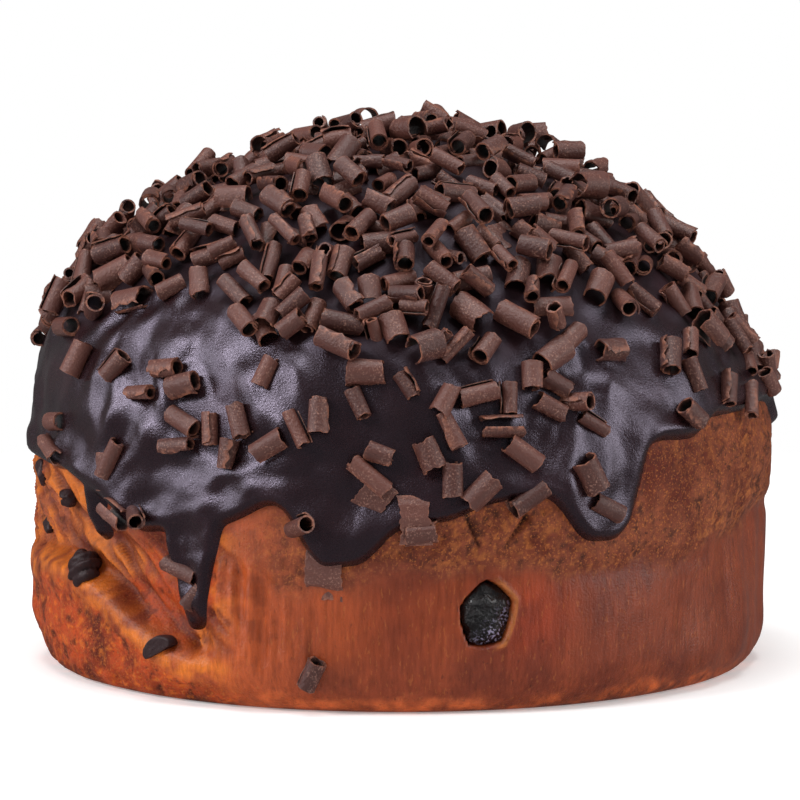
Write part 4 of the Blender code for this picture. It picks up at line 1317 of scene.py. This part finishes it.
# %% Curl material
def curl_material():
    made, tree, shader = new_material("rolled_chocolate")
    rim, tone = stored(tree, "rim").outputs["Fac"], stored(tree, "tone").outputs["Fac"]
    inward = stored(tree, "inward").outputs["Fac"]
    shader.inputs["Specular IOR Level"].default_value = 0.5
    base = blend(tree, tone, rgba(colour(69, 36, 31)), rgba(colour(98, 57, 48)))
    specks, patches = flecks(tree, 2200.0, 0.46, 0.1), flecks(tree, 200.0, 0.62, 0.2)
    powder = times(tree, times(tree, specks, patches), 0.5)
    base = blend(tree, powder, base, rgba(colour(156, 114, 98)))
    patchy = times(tree, times(tree, rim, flecks(tree, 700.0, 0.6, 0.2)), 0.7)
    base = blend(tree, patchy, base, rgba(colour(150, 94, 72)))
    # painted shade: the inner face is darkened to near black towards the middle of the roll
    base = blend(tree, times(tree, inward, 0.97), base, rgba(colour(10, 5, 4)))
    tree.links.new(base, shader.inputs["Base Color"])
    dull = ramp(tree, fine_grain(tree, 600.0), (0.36, 0.56))
    tree.links.new(dull, shader.inputs["Roughness"])
    raise_bump(tree, shader, fine_grain(tree, 1500.0), 0.0006, 0.5)
    return made


# %% [markdown]
# Hundreds of shavings in a few large meshes are quick to draw and to export. They are sorted by
# form, so that someone who reuses the loaf can hide or swap one kind.

# %% Make the curls
def make_curls(name, chosen, material, seed):
    """All curls of one kind as a single mesh."""
    draw = np.random.default_rng(seed)
    one = strip_faces()
    points, rims, inwards, tones, faces = [], [], [], [], []
    for n, curl in enumerate(chosen):
        cloud, rim, inward = placed(curl, draw)
        faces.append(one + n * len(cloud))
        points.append(cloud)
        rims.append(rim)
        inwards.append(inward)
        tones.append(np.full(len(cloud), draw.uniform(0, 1)))
    points, faces = np.concatenate(points), [np.concatenate(faces)]
    made = new_piece(name, points, faces, material, ["glaze"])
    for label, values in (("rim", rims), ("inward", inwards), ("tone", tones)):
        store(made, label, np.concatenate(values))
    made.data.set_sharp_from_angle(angle=math.radians(50))


def sort_curls():
    """Gives each curl of the pile a form, and sorts all of them by form into a few pieces."""
    draw = np.random.default_rng(33)
    kinds, odds = ["roll", "open", "crumpled", "flake", "on end"], [0.66, 0.16, 0.12, 0.03, 0.03]
    lone = len(LONE_CURLS) + len(CURLS_AT_LIMB)
    formed = curls[:lone]
    formed += [c._replace(kind=str(draw.choice(kinds, p=odds))) for c in curls[lone:]]
    rolls = [c for c in formed if c.kind in ("roll", "on end")]
    return {
        "curls_rolled_low": rolls[::3],
        "curls_rolled_middle": rolls[1::3],
        "curls_rolled_high": rolls[2::3],
        "curls_open": [c for c in formed if c.kind in ("open", "flake")],
        "curls_crumpled": [c for c in formed if c.kind == "crumpled"],
    }


curl_finish = curl_material()
for seed, (name, chosen) in enumerate(sort_curls().items()):
    make_curls(name, chosen, curl_finish, 40 + seed)

# %% [markdown]
# One curl stuck to the bare crust low at the front. It belongs to the loaf's solid, so it is made
# beside it, in the same place.

# %% The curl on the crust
# Azimuth, height in mm and turn from level
CURL_ON_CRUST = (-12.5, 10, 65)


def curl_on_crust():
    azimuth, z, turn = CURL_ON_CRUST
    theta, arc = math.radians(azimuth), float(arc_at_height(z * MM))
    level, upslope, normal = tangent_frame(theta, arc)
    axis = lying(level, upslope, normal, math.radians(turn))
    centre = loaf_point(np.array([theta]), np.array([arc]), CURL_RADIUS * 0.7)[0]
    return Curl(centre, axis, normal, CURL_LENGTH * 0.85, CURL_RADIUS, 0.0)


make_curls("curl_on_wall", [curl_on_crust()], curl_finish, 55)

# %% [markdown]
# The raisin is a wrinkled, five-sided drop, wet and nearly black. The lumps of chocolate are
# dull: one is ridged like a broken piece, one is a half disc, and three are small splinters.
# Each starts as a fine ball and is pressed to its outline. The raisin is creased, the splinters
# are cut by a few flat planes, and all of them sit where their solids do.

# %% Pieces set in the wall
def wall_frame(azimuth, z, depth):
    """The place of a piece set in the wall: X level, Y into the loaf and Z up."""
    theta, arc = math.radians(azimuth), float(arc_at_height(z * MM))
    level, upslope, normal = tangent_frame(theta, arc)
    middle = loaf_point(np.array([theta]), np.array([arc]), -depth)[0]
    turn = Matrix((level, -normal, upslope)).transposed().to_4x4()
    return Matrix.Translation(Vector(middle)) @ turn


def fine_ball(levels=4):
    bm = bmesh.new()
    bmesh.ops.create_icosphere(bm, subdivisions=levels, radius=1.0)
    points = np.array([v.co for v in bm.verts])
    faces = np.array([[v.index for v in f.verts] for f in bm.faces])
    bm.free()
    return points, faces


BALL, BALL_FACES = fine_ball()


def pressed(sides, roundness, turn=0.0):
    """Pulls the ball's front outline in to a polygon with rounded corners."""
    return many_sided(np.arctan2(BALL[:, 2], BALL[:, 0]), sides, roundness, turn)


def raisin_form():
    """Five flat sides, a blunt front, and creases all over."""
    crease = 1 - 2 * np.abs(grain(BALL + 3, 0.6, 201, 3))
    sides = pressed(RAISIN_SIDES, RAISIN_ROUNDNESS, RAISIN_TURN)
    shape = BALL * (sides * (0.98 + 0.08 * crease))[:, None]
    shape[:, 1] = np.sign(shape[:, 1]) * np.abs(shape[:, 1]) ** 0.6
    return shape


def ridged_form():
    """A broken lump with three bands across its face and narrow clefts between them."""
    slope = 0.57 * BALL[:, 2] - 0.82 * BALL[:, 0] + 0.08 * BALL[:, 0] ** 2
    band = np.abs(np.sin(math.pi * (slope + 0.3) / 0.55)) ** 0.45
    ridged = 0.68 + 0.34 * band + 0.04 * grain(BALL + 5, 0.4, 205)
    return BALL * (pressed(6, 0.7) * ridged)[:, None]


def half_disc_form():
    """A flat half disc, straight along its lower side."""
    shape = BALL * (1 + 0.02 * grain(BALL + 5, 0.5, 209))[:, None]
    up = shape[:, 2]
    shape[:, 2] = np.where(up < -0.25, -0.25 + (up + 0.25) * 0.12, up)
    shape[:, 1] = np.clip(shape[:, 1] * 2.4, -1, 1) * 0.85
    return shape


def shard_form(sides, seed, cuts=9):
    """A splinter: a ball pressed to a few sides, with flat faces where pieces broke off it."""
    draw = np.random.default_rng(210 + seed)
    shape = BALL * pressed(sides, 0.3, 30 * seed)[:, None]
    for _ in range(cuts):
        facing = draw.normal(size=3)
        facing /= np.linalg.norm(facing)
        beyond = np.maximum(shape @ facing - draw.uniform(0.55, 0.8), 0)
        shape = shape - beyond[:, None] * facing
    return shape * (1 + 0.015 * grain(BALL + seed, 0.3, 220 + seed))[:, None]


def set_in_wall(name, place, form, material):
    azimuth, z, size, tilt, sunk = place
    matrix = wall_frame(azimuth, z, sunk) @ Matrix.Rotation(math.radians(tilt), 4, "Y")
    turn, shift = np.array(matrix.to_3x3()), np.array(matrix.translation)
    points = (form * np.array(size) / 2) @ turn.T + shift
    return new_piece(name + "_fine", points, [BALL_FACES], material, [name])


print("each of these pieces has", len(BALL), "points")

# %% [markdown]
# A raisin is nearly black, with a wet gloss in its creases and painted glints: pale lilac specks in
# its colour on the side towards the light. The lumps are plain chocolate that has been through the
# oven: browner, dull and dusty.

# %% Materials of the raisin and the lumps
def raisin_material():
    made, tree, shader = new_material("wet_raisin")
    dark, light = rgba(colour(10, 6, 8)), rgba(colour(30, 20, 22))
    base = blend(tree, flecks(tree, 260.0, 0.5, 0.2), dark, light)
    # painted glints: pale lilac specks in the base colour, only where the raisin faces the light
    painted_glints = times(tree, flecks(tree, 1700.0, 0.46, 0.08), stored(tree, "glint_share").outputs["Fac"])
    base = blend(tree, painted_glints, base, rgba(colour(150, 142, 170)))
    tree.links.new(base, shader.inputs["Base Color"])
    wet = ramp(tree, fine_grain(tree, 300.0), (0.16, 0.4), (0.35, 0.65))
    tree.links.new(wet, shader.inputs["Roughness"])
    shader.inputs["Coat Weight"].default_value = 0.4
    shader.inputs["Coat Roughness"].default_value = 0.12
    raise_bump(tree, shader, fine_grain(tree, 700.0), 0.0012, 0.9)
    return made


def lump_material():
    made, tree, shader = new_material("dull_chocolate")
    dark, light = rgba(colour(44, 25, 27)), rgba(colour(66, 42, 44))
    base = blend(tree, flecks(tree, 150.0, 0.5, 0.25), dark, light)
    shader.inputs["Specular IOR Level"].default_value = 0.3
    powder = times(tree, flecks(tree, 1900.0, 0.36, 0.08), 0.4)
    tree.links.new(blend(tree, powder, base, rgba(colour(96, 68, 62))), shader.inputs["Base Color"])
    dull = ramp(tree, fine_grain(tree, 500.0), (0.36, 0.6))
    tree.links.new(dull, shader.inputs["Roughness"])
    raise_bump(tree, shader, fine_grain(tree, 900.0), 0.0005, 0.5)
    return made


# %% [markdown]
# Each form is now set into its pocket with the size and tilt that its solid has. The painted glints
# are strongest at the raisin's lower right, which is where its creases face the viewer's light.

# %% Make the raisin and the lumps
raisin = set_in_wall("raisin", RAISIN, raisin_form(), raisin_material())
# the share of painted glints, highest at the lower right where the raisin faces the light
store(raisin, "glint_share", smooth(0.65 * BALL[:, 0] - 0.5 * BALL[:, 2], -0.1, 0.8))
LUMP_FORMS = {
    "chip_lump": ridged_form(),
    "chip_foot": half_disc_form(),
    "chip_edge": shard_form(5, 1),
    "chip_pointed": shard_form(3, 2),
    "chip_limb": shard_form(4, 3),
}
lump_finish = lump_material()
for name, form in LUMP_FORMS.items():
    set_in_wall(name, CHIPS[name], form, lump_finish)

# %% [markdown]
# This is lit like a product picture: a large light at the upper left front, a weaker one low on
# each side, one at the right and a broad one above. The floor and the surround are white to the
# camera, but dim to rays that were mirrored. Dark glossy chocolate would otherwise mirror so much
# white that it turned grey, and with them dim only the lights show in it, as in a real studio.

# %% Floor and surround
def mixed_shaders(tree, share, first, second):
    return node(tree, "MixShader", {0: share, 1: first, 2: second}).outputs[0]


def pale_material():
    made, tree, shader = new_material("pale_floor")
    shader.inputs["Base Color"].default_value = (0.92, 0.92, 0.92, 1)
    shader.inputs["Roughness"].default_value = 0.8
    shader.inputs["Emission Color"].default_value = (1, 1, 1, 1)
    shader.inputs["Emission Strength"].default_value = 0.25
    dim = node(tree, "Emission", {"Strength": 0.16}).outputs[0]
    mirrored = node(tree, "LightPath").outputs["Is Glossy Ray"]
    both = mixed_shaders(tree, mirrored, shader.outputs[0], dim)
    tree.links.new(both, tree.nodes["Material Output"].inputs["Surface"])
    return made


def make_floor(radius=0.5, corners=96):
    mesh = bpy.data.meshes.new("floor")
    turn = np.arange(corners) * 2 * math.pi / corners
    ring = [(radius * math.cos(t), radius * math.sin(t), 0) for t in turn]
    mesh.from_pydata(ring, [], [list(range(corners))])
    mesh.materials.append(pale_material())
    floor = bpy.data.objects.new("floor", mesh)
    bpy.context.scene.collection.objects.link(floor)


make_floor()
world = bpy.data.worlds.new("surround")
bpy.context.scene.world = world
world.use_nodes = True
sky = world.node_tree
soft = sky.nodes["Background"]
soft.inputs["Color"].default_value, soft.inputs["Strength"].default_value = (1, 1, 1, 1), 0.3
seen = node(sky, "Background", {"Color": (1, 1, 1, 1), "Strength": 1.0}).outputs[0]
dim = node(sky, "Background", {"Color": (1, 1, 1, 1), "Strength": 0.14}).outputs[0]
path = node(sky, "LightPath").outputs
indirect = mixed_shaders(sky, path["Is Glossy Ray"], soft.outputs[0], dim)
both = mixed_shaders(sky, path["Is Camera Ray"], indirect, seen)
sky.links.new(both, sky.nodes["World Output"].inputs["Surface"])
print("a white floor and a white surround")

# %% [markdown]
# Each light is a soft square panel turned towards the middle of the loaf. The key light draws the
# highlights on the glaze, the low ones keep the wall's colour alive, and the top one models the
# curls.

# %% Lights
LIT_POINT = (0, 0, 0.06)


def area_light(name, place, size, power, tint=(1, 1, 1)):
    data = bpy.data.lights.new(name, "AREA")
    data.energy, data.size, data.color = power, size, tint
    made = bpy.data.objects.new(name, data)
    made.location = place
    facing = Vector(LIT_POINT) - Vector(place)
    made.rotation_euler = facing.to_track_quat("-Z", "Y").to_euler()
    bpy.context.scene.collection.objects.link(made)


area_light("key", (-0.95, -0.6, 0.75), 0.4, 8, (1, 0.985, 1))
area_light("left_low", (-1.15, -0.1, 0.35), 0.5, 3.4, (0.97, 0.96, 1))
area_light("right", (1.0, -0.4, 0.6), 0.4, 3.1)
area_light("right_low", (1.1, -0.3, 0.2), 0.4, 2.5)
area_light("above", (0.0, -0.15, 1.3), 0.8, 13)
print("five lights")

# %% [markdown]
# The camera stands about nine tenths of a metre away and a little above the top of the wall, with
# a long lens, which is the view that the loaf was measured from.

# %% Camera
SENSOR = 36
camera = bpy.data.objects.new("camera", bpy.data.cameras.new("camera"))
camera.data.sensor_width = SENSOR
camera.data.lens = VIEW_STEPS * SENSOR / (2 * VIEW_MIDDLE)
camera.location = VIEW_POINT
camera.rotation_euler = Vector(VIEW_AIM - VIEW_POINT).to_track_quat("-Z", "Y").to_euler()
bpy.context.scene.collection.objects.link(camera)
bpy.context.scene.camera = camera
bpy.context.scene.view_settings.view_transform = "Standard"
print("the lens is", round(camera.data.lens), "mm long")
